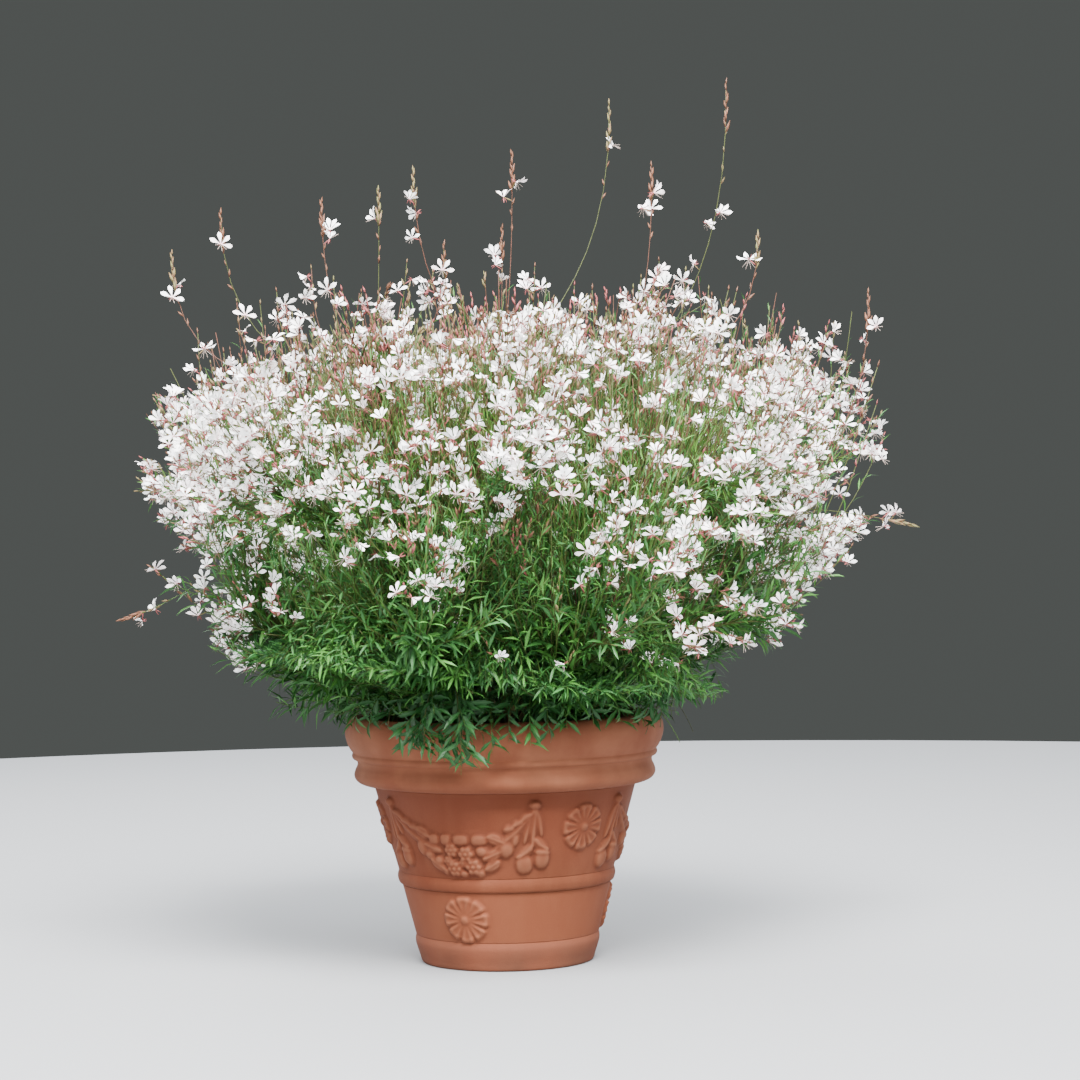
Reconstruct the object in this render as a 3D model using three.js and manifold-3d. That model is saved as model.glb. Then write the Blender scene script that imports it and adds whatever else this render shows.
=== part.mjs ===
// A potted gaura: an ornamented terracotta pot under a wide mound of wiry stems, leaves and blossom.
// Lengths are millimetres and angles are degrees. Z is up and the front of the pot faces minus Y.
// The origin is the centre of the pot's flat underside, which stands on the ground.
import * as THREE from 'three';
import { mergeVertices } from 'three/addons/utils/BufferGeometryUtils.js';
import Module from 'manifold-3d';

const wasm = await Module();
wasm.setup();

// Driving dimensions: the pot
const POT_SIDES = 30;
const POT_HEIGHT = 368.5;
const FOOT_RADIUS = 129;
const FLOOR_HEIGHT = 30;
const BAND_TOP = { radius: 136.8, height: 42 };
const RING_LOW = { radius: 156.4, height: 118 };
const RING_TOP = { radius: 161, height: 138 };
const COLLAR_LOW = { radius: 196, height: 265 };
const COLLAR_PROUD = 225;
const COVE_RADIUS = 220.4;
const RIM_RADIUS = 238.6;
const MOUTH_RADIUS = 207;
const WALL_THICKNESS = 19.5;

// Driving dimensions: the raised ornament, which repeats three times round the pot
const ORNAMENT_TURNS = 3;
const GARLAND_TURN = -23.5;
const GARLAND_HEIGHT = 173;
const KNOB_TURN = 39;
const KNOB_HEIGHT = 246;
const ROSETTE_TURN = 38.5;
const ROSETTE_HEIGHT = 211;
const LOW_ROSETTE_HEIGHT = 73;
const ROSETTE_RADIUS = 34.5;

// Driving dimensions: compost, crown of the root, and stems
const CLEAR = 0.3;
const COMPOST_HEIGHT = 320;
const DOME_CENTRE = 318;
const DOME_RADIUS = 40;
const STEM_FOOT_RADIUS = 4;
const STEM_TIP_RADIUS = 2.6;
const STEM_SIDES = 4;
const STEM_STEPS = 5;
const AZIMUTH_WOBBLE = 5;
const SIZE_WOBBLE = 0.05;

// Driving dimensions: twigs, leaves and blossom, larger than life because they are fewer than in life
const MASS_STEM_RADIUS = 3.4;
const WAND_RADIUS = 2.6;
const WAND_ROOT = 0.12;
const TWIG_RADIUS = 1.7;
const STALK_RADIUS = 0.9;
const MASS_STEM_STEPS = 3;
const TWIG_STEPS = 1;
const WAND_STEPS = 3;
const SPRIG_STEPS = 2;
const LEAF_LENGTH = 132;
const LEAF_WIDTH = 30;
const LEAF_THICKNESS = 3;
const LEAF_WIDEST = 0.34;
const LEAF_SINK = 1.1;
const LEAF_ANGLE = 48;
const BLOSSOM_RADIUS = 27;
const BLOSSOM_HEIGHT = 6;
const BLOSSOM_SINK = 2;
const STALK_LENGTH = 16;
const GOLDEN_ANGLE = 137.508;
const SPACE_GAP = 0.8;
const LIMB_CLEARANCE = 1;
const POT_CLEARANCE = 4;

// Rings of shoots, from the skirt that hangs over the rim up to the top of the mound.
// A seed is the middle of a mass, and a tip is where its main stem ends.
const RINGS = [
  {
    name: 'skirt', count: 8, turn: 22.5, footTilt: 30, seed: [300, 455], tip: [410, 492], tipTilt: -6,
    twigs: 5, twigLength: 150, leaves: 1, stemLeaves: 3, blossoms: 0.1,
  },
  {
    name: 'side', count: 8, turn: 0, footTilt: 50, seed: [365, 690], tip: [470, 735], tipTilt: 18,
    twigs: 5, twigLength: 175, leaves: 0.7, stemLeaves: 2, blossoms: 0.7,
  },
  {
    name: 'upper', count: 6, turn: 30, footTilt: 66, seed: [205, 880], tip: [285, 985], tipTilt: 58,
    twigs: 5, twigLength: 165, leaves: 0.4, stemLeaves: 1, blossoms: 0.9,
  },
  {
    name: 'heart', count: 2, turn: 0, footTilt: 76, seed: [110, 610], tip: [125, 730], tipTilt: 84,
    twigs: 4, twigLength: 160, leaves: 1, stemLeaves: 3, blossoms: 0,
  },
  {
    name: 'top', count: 2, turn: 90, footTilt: 82, seed: [75, 930], tip: [85, 995], tipTilt: 84,
    twigs: 5, twigLength: 150, leaves: 0.2, stemLeaves: 1, blossoms: 1,
  },
];

// Height of the mound's outline at each reach from the axis, as pairs of height and reach
const MOUND = [
  [240, 270], [300, 280], [366, 305], [420, 375], [500, 475], [600, 545], [750, 575],
  [850, 570], [930, 520], [985, 440], [1015, 320], [1035, 0],
];
const MOUND_LEAN = 0.04;
const LEAN_TURNS_AT = 550;
const LEAN_GROWS_OVER = 150;

// Tips of the tall wands that stand out of the mound: across, deep, high
const WANDS = [
  [350, 20, 1309], [177, 150, 1300], [26, -90, 1190], [229, -130, 1164], [-179, 60, 1160],
  [-116, -160, 1159], [-256, -70, 1127], [-421, 70, 1130], [-479, -60, 1056], [6, 230, 1120],
  [380, -150, 1060], [552, -40, 983], [-90, 330, 1105], [-559, -60, 520], [606, -70, 640],
  [250, 340, 1010], [-330, 330, 980],
];
const BUD_TIP_HEIGHT = 1250;

// Tips of the leafy sprigs that hang over the rim: across, deep, high
const SPRIGS = [
  [-52, -288, 292], [-138, -262, 318], [232, -185, 322], [-262, 112, 330], [90, 278, 312], [262, 96, 335],
];
const SPRIG_LEAVES = 3;

const DEGREE = Math.PI / 180;
const UP = new THREE.Vector3(0, 0, 1);
const vec = (x, y, z) => new THREE.Vector3(x, y, z);

// A number from 0 to 1 that depends only on its three keys
function chance(first, second = 0, third = 0) {
  const wave = Math.sin(first * 12.9898 + second * 78.233 + third * 37.719) * 43758.5453;
  return wave - Math.floor(wave);
}

const spread = (first, second, third) => chance(first, second, third) * 2 - 1;

// A closed solid from corner points and faces, each face a list of corners seen anticlockwise from outside
function solidOf(corners, faces) {
  const triangles = [];
  for (const face of faces) {
    for (let i = 2; i < face.length; i += 1) {
      triangles.push(face[0], face[i - 1], face[i]);
    }
  }
  const mesh = new wasm.Mesh({
    numProp: 3,
    vertProperties: Float32Array.from(corners.flatMap((corner) => [corner.x, corner.y, corner.z])),
    triVerts: Uint32Array.from(triangles),
  });
  return new wasm.Manifold(mesh);
}

// The corners and faces of a three.js geometry, with shared corners and no collapsed faces
function shapeOf(geometry) {
  geometry.deleteAttribute('normal');
  geometry.deleteAttribute('uv');
  const merged = mergeVertices(geometry, 1e-4);
  const place = merged.getAttribute('position');
  const corners = Array.from({ length: place.count }, (_, i) => vec(0, 0, 0).fromBufferAttribute(place, i));
  const faces = [];
  for (let i = 0; i < merged.index.count; i += 3) {
    const face = [0, 1, 2].map((k) => merged.index.getX(i + k));
    if (new Set(face).size === 3) {
      faces.push(face);
    }
  }
  return { corners, faces };
}

// The largest body of a union, so that a loose scrap is dropped and a sealed hollow is filled
function fuse(solids) {
  const pieces = wasm.Manifold.union(solids).simplify(0.002).decompose();
  return pieces.reduce((best, piece) => (piece.volume() > best.volume() ? piece : best));
}

function meshOf(solid, name, color, roughness) {
  const { vertProperties, triVerts } = solid.getMesh();
  const geometry = new THREE.BufferGeometry();
  geometry.setAttribute('position', new THREE.BufferAttribute(Float32Array.from(vertProperties), 3));
  geometry.setIndex(Array.from(triVerts));
  geometry.computeVertexNormals();
  const material = new THREE.MeshStandardMaterial({ color, roughness, metalness: 0 });
  const mesh = new THREE.Mesh(geometry, material);
  mesh.name = name;
  return mesh;
}

// A tapering limb: one ring of corners at each point, square to its tangent, with flat ends
function limbShape(points, tangents, radii, sides) {
  const corners = [];
  const faces = [];
  let across = Math.abs(tangents[0].z) > 0.9 ? vec(1, 0, 0) : vec(0, 0, 1);
  points.forEach((point, ring) => {
    const along = tangents[ring].clone().normalize();
    across = across.clone().addScaledVector(along, -across.dot(along)).normalize();
    const beside = along.clone().cross(across);
    for (let side = 0; side < sides; side += 1) {
      const angle = (side / sides) * 2 * Math.PI;
      const corner = point.clone();
      corner.addScaledVector(across, Math.cos(angle) * radii[ring]);
      corner.addScaledVector(beside, Math.sin(angle) * radii[ring]);
      corners.push(corner);
      if (ring > 0) {
        const next = (side + 1) % sides;
        const low = (ring - 1) * sides;
        faces.push([low + side, low + next, low + sides + next, low + sides + side]);
      }
    }
  });
  const last = (points.length - 1) * sides;
  faces.push(Array.from({ length: sides }, (_, i) => sides - 1 - i));
  faces.push(Array.from({ length: sides }, (_, i) => last + i));
  return { corners, faces };
}

// A curve's points and tangents between two of its parameters
function stretch(curve, from, to, steps) {
  const at = Array.from({ length: steps + 1 }, (_, i) => from + ((to - from) * i) / steps);
  return { points: at.map((t) => curve.getPoint(t)), tangents: at.map((t) => curve.getTangent(t)) };
}

// The point of a path at a fraction of its steps, on the straight between two of its points
function pointOn(path, t) {
  const place = Math.min(0.9999, Math.max(0, t)) * (path.length - 1);
  const step = Math.floor(place);
  return path[step].clone().lerp(path[step + 1], place - step);
}

function wayOn(path, t) {
  const step = Math.floor(Math.min(0.9999, Math.max(0, t)) * (path.length - 1));
  return path[step + 1].clone().sub(path[step]).normalize();
}

// The pot

const potOutside = [
  [0, 0], [FOOT_RADIUS, 0], [BAND_TOP.radius - 1.2, 23],
  [BAND_TOP.radius, BAND_TOP.height], [RING_LOW.radius, RING_LOW.height],
  [RING_LOW.radius + 4.5, 120], [163, 129], [RING_TOP.radius, RING_TOP.height],
  [COLLAR_LOW.radius, COLLAR_LOW.height], [212, 267], [COLLAR_PROUD - 2, 274], [COLLAR_PROUD, 282],
  [COVE_RADIUS, 298], [226, 306], [229, 314],
  [RIM_RADIUS - 3.6, 327], [RIM_RADIUS, 343], [235, 359], [225, 367.5],
  [220, POT_HEIGHT],
];
const potInside = [
  [212, 367], [MOUTH_RADIUS, 359], [199, 300], [COLLAR_LOW.radius - WALL_THICKNESS + 1.5, 262],
  [RING_TOP.radius - WALL_THICKNESS, RING_TOP.height - 2], [117, FLOOR_HEIGHT + 4], [0, FLOOR_HEIGHT],
];

function lathe(profile) {
  const points = profile.map(([radius, height]) => new THREE.Vector2(radius, height));
  const geometry = new THREE.LatheGeometry(points, POT_SIDES);
  geometry.rotateX(Math.PI / 2);
  const { corners, faces } = shapeOf(geometry);
  const solid = solidOf(corners, faces);
  return solid.volume() > 0 ? solid : solidOf(corners, faces.map((face) => [...face].reverse()));
}

// Radius of a profile at a height, read from its straight stretches
function radiusAt(profile, height) {
  for (let i = 1; i < profile.length; i += 1) {
    const [lowRadius, low] = profile[i - 1];
    const [highRadius, high] = profile[i];
    if (height >= Math.min(low, high) && height <= Math.max(low, high) && low !== high) {
      return lowRadius + ((highRadius - lowRadius) * (height - low)) / (high - low);
    }
  }
  return 0;
}

const wallCorners = [
  [BAND_TOP.radius, 0], [BAND_TOP.radius, BAND_TOP.height], [RING_LOW.radius, RING_LOW.height],
  [RING_TOP.radius, RING_TOP.height], [COLLAR_LOW.radius, COLLAR_LOW.height],
];

// Bends a flat shape round the wall: x runs round it, y up it and z out of it
function wrapped({ corners, faces }, turn, height) {
  const middle = radiusAt(wallCorners, height);
  const bent = corners.map((corner) => {
    const angle = turn * DEGREE + corner.x / middle;
    const radius = radiusAt(wallCorners, height + corner.y) + corner.z;
    return vec(radius * Math.sin(angle), -radius * Math.cos(angle), height + corner.y);
  });
  return solidOf(bent, faces);
}

// An eight-petalled rosette: a scalloped disc that rises to the boss in its middle
function rosetteShape() {
  const corners = [vec(0, 0, -5), vec(0, 0, 8)];
  const count = 16;
  const faces = [];
  for (let i = 0; i < count; i += 1) {
    const angle = (i / count) * 2 * Math.PI;
    const reach = i % 2 === 0 ? ROSETTE_RADIUS : ROSETTE_RADIUS * 0.82;
    corners.push(vec(Math.cos(angle) * reach, Math.sin(angle) * reach, -5));
    corners.push(vec(Math.cos(angle) * reach * 0.95, Math.sin(angle) * reach * 0.95, 4));
    const low = 2 + i * 2;
    const next = 2 + ((i + 1) % count) * 2;
    faces.push([0, next, low], [low, next, next + 1, low + 1], [1, low + 1, next + 1]);
  }
  return { corners, faces };
}

// A rounded bump, such as a fruit or a knob
function bumpShape(x, y, width, height, proud) {
  const { corners, faces } = shapeOf(new THREE.IcosahedronGeometry(1, 0));
  const moved = corners.map((corner) => (
    vec(x + (corner.x * width) / 2, y + (corner.y * height) / 2, corner.z * proud)));
  return { corners: moved, faces };
}

// A flattened length of drape between two points of the wall, as wide as its list of widths, and sagging
function drapeShape(from, to, sag, widths, proud) {
  const steps = widths.length - 1;
  const width = Math.max(...widths);
  const points = [];
  for (let i = 0; i <= steps; i += 1) {
    const t = i / steps;
    const point = from.clone().lerp(to, t);
    point.y -= sag * 4 * t * (1 - t);
    points.push(point);
  }
  const radii = widths.map((across) => across / 2);
  const tangents = points.map((_, i) => (
    points[Math.min(i + 1, steps)].clone().sub(points[Math.max(i - 1, 0)])));
  const { corners, faces } = limbShape(points, tangents, radii, 4);
  corners.forEach((corner) => {
    corner.z *= proud / (width / 2);
  });
  return { corners, faces };
}

function ornament(turn) {
  const solids = [];
  const add = (shape, at, height) => solids.push(wrapped(shape, at, height));
  const middle = turn + GARLAND_TURN;
  const knobReach = KNOB_TURN * DEGREE * radiusAt(wallCorners, GARLAND_HEIGHT);
  const knobRise = KNOB_HEIGHT - GARLAND_HEIGHT;
  add(rosetteShape(), turn + ROSETTE_TURN, ROSETTE_HEIGHT);
  add(rosetteShape(), middle, LOW_ROSETTE_HEIGHT);
  const rows = [[3, 14], [2, -12]];
  for (const [count, rise] of rows) {
    for (let i = 0; i < count; i += 1) {
      const across = (i - (count - 1) / 2) * 42;
      add(bumpShape(across, rise, 48, 38, 7.5), middle, GARLAND_HEIGHT);
    }
  }
  for (const side of [-1, 1]) {
    const knob = vec(side * knobReach, knobRise, 0);
    const corner = vec(side * 50, 20, 0);
    const foot = vec(knob.x, knob.y - 98, 0);
    add(drapeShape(knob, corner, 8, [14, 24, 16], 5.5), middle, GARLAND_HEIGHT);
    add(drapeShape(vec(knob.x, knob.y + 8, 0), foot, 0, [14, 16, 24, 52, 30], 7), middle, GARLAND_HEIGHT);
  }
  return solids;
}

const ornaments = [];
for (let i = 0; i < ORNAMENT_TURNS; i += 1) {
  ornaments.push(...ornament((i * 360) / ORNAMENT_TURNS));
}
const pot = fuse([lathe([...potOutside, ...potInside]), ...ornaments]);

// The compost stands clear of the pot's wall and floor, with the same number of sides
const insideUp = [...potInside].reverse();
const compostTop = radiusAt(insideUp, COMPOST_HEIGHT) - CLEAR * 1.5;
const compost = lathe([
  [0, FLOOR_HEIGHT + CLEAR],
  [117 - CLEAR, FLOOR_HEIGHT + 4 + CLEAR * 1.2],
  [RING_TOP.radius - WALL_THICKNESS - CLEAR * 1.3, RING_TOP.height - 2],
  [COLLAR_LOW.radius - WALL_THICKNESS + 1.5 - CLEAR * 1.5, 262],
  [199 - CLEAR * 1.5, 300],
  [compostTop, COMPOST_HEIGHT],
  [0, COMPOST_HEIGHT],
]);

// Shoots: each is one curve, whose first part is a bare stem and whose rest is the stem of a mass

function onRay(azimuth, reach, height) {
  return vec(Math.cos(azimuth * DEGREE) * reach, Math.sin(azimuth * DEGREE) * reach, height);
}

function makeShoots() {
  const shoots = [];
  for (const ring of RINGS) {
    for (let i = 0; i < ring.count; i += 1) {
      const key = shoots.length + 1;
      const azimuth = ring.turn + (i * 360) / ring.count + AZIMUTH_WOBBLE * spread(key, 1);
      const size = 1 + SIZE_WOBBLE * spread(key, 2) + MOUND_LEAN * Math.cos(azimuth * DEGREE);
      const normal = onRay(azimuth, Math.cos(ring.footTilt * DEGREE), Math.sin(ring.footTilt * DEGREE));
      const foot = vec(0, 0, DOME_CENTRE).addScaledVector(normal, DOME_RADIUS + CLEAR);
      const tip = onRay(azimuth, ring.tip[0] * size, ring.tip[1] * (1 + 0.03 * spread(key, 3)));
      const tipWay = onRay(azimuth, Math.cos(ring.tipTilt * DEGREE), Math.sin(ring.tipTilt * DEGREE));
      const span = foot.distanceTo(tip);
      const curve = new THREE.CubicBezierCurve3(
        foot,
        foot.clone().addScaledVector(normal, span * 0.45),
        tip.clone().addScaledVector(tipWay, -span * 0.33),
        tip,
      );
      const seed = onRay(azimuth, ring.seed[0] * size, ring.seed[1]);
      shoots.push({ key, ring, name: `${ring.name}_${i + 1}`, azimuth, normal, foot, tip, seed, curve });
    }
  }
  return shoots;
}

const shoots = makeShoots();

// Flat sides of each mass's space: halfway planes between its seed and every other seed
for (const shoot of shoots) {
  shoot.walls = shoots.filter((other) => other !== shoot).map((other) => {
    const way = other.seed.clone().sub(shoot.seed).normalize();
    const middle = other.seed.clone().add(shoot.seed).multiplyScalar(0.5);
    return { way, limit: way.dot(middle) - SPACE_GAP };
  });
}

const inSpace = (shoot, point) => shoot.walls.every((wall) => wall.way.dot(point) <= wall.limit);

// Furthest reach of leaves and blossom from the axis, which leans one way above and the other way below
function moundReach(point) {
  const level = Math.min(1.4, Math.max(-1.4, (point.z - LEAN_TURNS_AT) / LEAN_GROWS_OVER));
  const lean = 1 + MOUND_LEAN * level * (point.x / (Math.hypot(point.x, point.y) + 1));
  for (let i = 1; i < MOUND.length; i += 1) {
    const [low, lowReach] = MOUND[i - 1];
    const [high, highReach] = MOUND[i];
    if (point.z >= low && point.z <= high) {
      return lean * (lowReach + ((highReach - lowReach) * (point.z - low)) / (high - low));
    }
  }
  return -1;
}

const inMound = (point) => Math.hypot(point.x, point.y) <= moundReach(point);

function clearOfPot(point) {
  const reach = Math.hypot(point.x, point.y);
  return point.z > POT_HEIGHT + POT_CLEARANCE || reach > RIM_RADIUS + POT_CLEARANCE;
}

// Shortest distance between two straight stretches
function gapBetween(a, b, c, d) {
  const first = b.clone().sub(a);
  const second = d.clone().sub(c);
  const across = a.clone().sub(c);
  const ff = first.dot(first);
  const ss = second.dot(second);
  const fs = first.dot(second);
  const fa = first.dot(across);
  const sa = second.dot(across);
  const clamp = (value) => Math.min(1, Math.max(0, value));
  const solve = ff * ss - fs * fs;
  let t = solve > 1e-9 ? clamp((fs * sa - fa * ss) / solve) : 0;
  const u = clamp((fs * t + sa) / ss);
  t = clamp((fs * u - fa) / ff);
  const near = a.clone().addScaledVector(first, t);
  return near.distanceTo(c.clone().addScaledVector(second, u));
}

// The bare stem ends a little inside its own space
for (const shoot of shoots) {
  let entry = 0.3;
  while (entry < 0.8 && !inSpace(shoot, shoot.curve.getPoint(entry - 0.03))) {
    entry += 0.01;
  }
  shoot.entry = entry;
  const bare = stretch(shoot.curve, 0, entry, STEM_STEPS);
  const end = bare.points[STEM_STEPS];
  end.addScaledVector(bare.tangents[STEM_STEPS].clone().normalize(), -CLEAR);
  bare.tangents[0] = shoot.normal.clone();
  shoot.bare = bare;
  shoot.bareRadii = bare.points.map((_, i) => (
    STEM_FOOT_RADIUS + ((STEM_TIP_RADIUS - STEM_FOOT_RADIUS) * i) / STEM_STEPS));
}

function clearOfLimbs(from, to, radius) {
  return shoots.every((shoot) => shoot.bare.points.every((point, i) => (
    i === 0 || gapBetween(from, to, shoot.bare.points[i - 1], point)
      > radius + shoot.bareRadii[i - 1] + LIMB_CLEARANCE)));
}

// The crown of the root is the hull of every stem's foot, moved in by the clearance, and a flat cut base
function rootCrown() {
  const corners = [];
  for (const shoot of shoots) {
    const { normal } = shoot;
    const middle = vec(0, 0, DOME_CENTRE).addScaledVector(normal, DOME_RADIUS);
    const across = Math.abs(normal.z) > 0.9 ? vec(1, 0, 0) : vec(0, 0, 1);
    across.addScaledVector(normal, -across.dot(normal)).normalize();
    const beside = normal.clone().cross(across);
    for (let i = 0; i < STEM_SIDES; i += 1) {
      const angle = (i / STEM_SIDES) * 2 * Math.PI;
      const corner = middle.clone();
      corner.addScaledVector(across, Math.cos(angle) * STEM_FOOT_RADIUS);
      corner.addScaledVector(beside, Math.sin(angle) * STEM_FOOT_RADIUS);
      corners.push([corner.x, corner.y, corner.z]);
    }
  }
  for (let i = 0; i < 16; i += 1) {
    const foot = onRay(i * 22.5, DOME_RADIUS, COMPOST_HEIGHT + CLEAR);
    corners.push([foot.x, foot.y, foot.z]);
  }
  return wasm.Manifold.hull(corners);
}

// Twigs, leaves and blossom

// A leaf of eight faces, its root sunk past the middle of the twig
function leafShape(base, way, up, scale) {
  const along = way.clone().normalize();
  const beside = along.clone().cross(up).normalize();
  const normal = beside.clone().cross(along);
  const root = base.clone().addScaledVector(along, -LEAF_SINK);
  const middle = base.clone().addScaledVector(along, LEAF_LENGTH * scale * LEAF_WIDEST);
  const tip = base.clone().addScaledVector(along, LEAF_LENGTH * scale);
  const corners = [
    root,
    tip,
    middle.clone().addScaledVector(beside, (LEAF_WIDTH * scale) / 2),
    middle.clone().addScaledVector(beside, (-LEAF_WIDTH * scale) / 2),
    middle.clone().addScaledVector(normal, LEAF_THICKNESS / 2),
    middle.clone().addScaledVector(normal, -LEAF_THICKNESS / 2),
  ];
  const faces = [[0, 2, 4], [0, 4, 3], [0, 3, 5], [0, 5, 2], [1, 4, 2], [1, 3, 4], [1, 5, 3], [1, 2, 5]];
  return { corners, faces };
}

// A blossom: a low four-pointed pyramid with a flat back, which the end of its twig pierces
function blossomShape(end, facing, turn) {
  const normal = facing.clone().normalize();
  const across = (Math.abs(normal.z) > 0.9 ? vec(1, 0, 0) : vec(0, 0, 1)).cross(normal).normalize();
  const beside = normal.clone().cross(across);
  const middle = end.clone().addScaledVector(normal, -BLOSSOM_SINK);
  const corners = [middle.clone().addScaledVector(normal, BLOSSOM_HEIGHT)];
  const faces = [];
  for (let i = 0; i < 8; i += 1) {
    const angle = turn + (i / 8) * 2 * Math.PI;
    const reach = BLOSSOM_RADIUS * (i % 2 === 0 ? 1 : 0.46);
    const corner = middle.clone();
    corner.addScaledVector(across, Math.cos(angle) * reach);
    corner.addScaledVector(beside, Math.sin(angle) * reach);
    corners.push(corner);
    faces.push([0, 1 + i, 1 + ((i + 1) % 8)]);
  }
  faces.push([2, 8, 6, 4], [1, 8, 2], [3, 2, 4], [5, 4, 6], [7, 6, 8]);
  return { corners, faces };
}

function fits(shoot, shape, from, to, radius, bound = inMound) {
  const free = (point) => inSpace(shoot, point) && bound(point) && clearOfPot(point);
  const samples = [0.25, 0.5, 0.75].map((t) => from.clone().lerp(to, t));
  return shape.corners.every(free) && samples.every(free) && clearOfLimbs(from, to, radius);
}

// Whether a leaf or blossom stands apart from those that the mass already has
function standsApart(mass, from, to, radius) {
  return mass.grown.every((item) => gapBetween(from, to, item.from, item.to) > radius + item.radius);
}

// One twig: a curve that leaves the stem to one side and bends towards the light
function twigCurve(base, way, length, lift) {
  const bend = base.clone().addScaledVector(way, length * 0.5);
  const end = bend.clone().addScaledVector(way, length * 0.5).addScaledVector(UP, length * lift);
  return new THREE.QuadraticBezierCurve3(base, bend, end);
}

function twigShape(path, thick, thin) {
  const last = path.length - 1;
  const tangents = path.map((_, i) => path[Math.min(i + 1, last)].clone().sub(path[Math.max(i - 1, 0)]));
  const radii = path.map((_, i) => thick + ((thin - thick) * i) / last);
  return limbShape(path, tangents, radii, 3);
}

// A way that leaves the axis at an angle, turned round it
function leaning(axis, turn, angle) {
  const along = axis.clone().normalize();
  const across = (Math.abs(along.z) > 0.9 ? vec(1, 0, 0) : vec(0, 0, 1)).cross(along).normalize();
  const beside = along.clone().cross(across);
  const side = across.multiplyScalar(Math.cos(turn)).addScaledVector(beside, Math.sin(turn));
  return along.multiplyScalar(Math.cos(angle)).addScaledVector(side, Math.sin(angle));
}

// Tries a leaf up to four times, a quarter turn on each time and a little smaller
function addLeaf(mass, base, axis, turn, scale) {
  const radius = LEAF_WIDTH * 0.25;
  for (let attempt = 0; attempt < 4; attempt += 1) {
    const way = leaning(axis, turn + attempt * 1.57, LEAF_ANGLE * DEGREE);
    way.z -= mass.shoot.ring.name === 'skirt' ? 0.3 : 0.05;
    way.normalize();
    const roll = leaning(way, 2 * Math.PI * chance(turn, attempt, scale), 90 * DEGREE);
    const facing = roll.addScaledVector(UP, Math.abs(way.z) > 0.9 ? 0 : 0.7).normalize();
    const shape = leafShape(base, way, facing, scale * (1 - 0.1 * attempt));
    const tip = shape.corners[1];
    const neck = base.clone().lerp(tip, 0.25);
    if (fits(mass.shoot, shape, base, tip, 4) && standsApart(mass, neck, tip, radius)) {
      mass.shapes.push(shape);
      mass.grown.push({ from: neck, to: tip, radius });
      return;
    }
  }
}

function addBlossom(mass, end, facing, turn, bound) {
  const shape = blossomShape(end, facing, turn);
  const ahead = end.clone().addScaledVector(facing, 1);
  const radius = BLOSSOM_RADIUS * 0.8;
  const clear = fits(mass.shoot, shape, end, ahead, BLOSSOM_RADIUS, bound);
  if (clear && standsApart(mass, end, ahead, radius)) {
    mass.shapes.push(shape);
    mass.grown.push({ from: end, to: ahead, radius });
    return true;
  }
  return false;
}

// Side twigs leave the mass's stem by the golden angle, shorter where the space or mound is narrow
function addTwigs(mass) {
  const { shoot, path } = mass;
  const { ring, key } = shoot;
  for (let i = 0; i < ring.twigs; i += 1) {
    const t = 0.06 + (0.88 * i) / ring.twigs;
    const base = pointOn(path, t);
    const turn = (i * GOLDEN_ANGLE + 360 * chance(key, 5)) * DEGREE;
    const way = leaning(wayOn(path, t), turn, (50 + 12 * spread(key, i, 7)) * DEGREE);
    const lift = ring.name === 'skirt' ? 0.05 : 0.3;
    let length = ring.twigLength * (0.9 + 0.25 * chance(key, i, 8));
    for (let attempt = 0; attempt < 5; attempt += 1) {
      const twig = stretch(twigCurve(base, way, length, lift), 0, 1, TWIG_STEPS).points;
      const shape = twigShape(twig, TWIG_RADIUS, TWIG_RADIUS * 0.8);
      if (fits(shoot, shape, pointOn(twig, 0.1), twig[TWIG_STEPS], TWIG_RADIUS)) {
        mass.shapes.push(shape);
        mass.twigs.push({ path: twig, index: i });
        break;
      }
      length *= 0.78;
    }
  }
}

// Leaves along each twig, and a blossom or one more leaf at its end
function dressTwigs(mass) {
  const { ring, key } = mass.shoot;
  for (const { path, index } of mass.twigs) {
    const leaves = Math.floor(ring.leaves + chance(key, index, 12));
    for (let j = 0; j < leaves; j += 1) {
      const t = 0.35 + (0.5 * j) / leaves;
      const turn = (j * GOLDEN_ANGLE + 360 * chance(key, index, 11)) * DEGREE;
      addLeaf(mass, pointOn(path, t), wayOn(path, t), turn, 0.85 + 0.3 * chance(key, index, j));
    }
    const blooms = chance(key, index, 13) < ring.blossoms;
    const turn = 6 * chance(key, index, 20);
    if (!(blooms && addBlossom(mass, path[TWIG_STEPS], wayOn(path, 1), turn, inMound))) {
      addLeaf(mass, pointOn(path, 0.96), wayOn(path, 1), turn, 0.85);
    }
  }
}

// Leaves on the mass's own stem, and the blossom at its tip
function dressStem(mass) {
  const { path } = mass;
  const { ring, key } = mass.shoot;
  const count = ring.stemLeaves;
  for (let j = 0; j < count; j += 1) {
    const t = 0.12 + (0.8 * j) / count;
    const turn = (j * GOLDEN_ANGLE + 360 * chance(key, 31, j)) * DEGREE;
    addLeaf(mass, pointOn(path, t), wayOn(path, t), turn, 1);
  }
  addBlossom(mass, path[MASS_STEM_STEPS], wayOn(path, 1), key, inMound);
}

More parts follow.
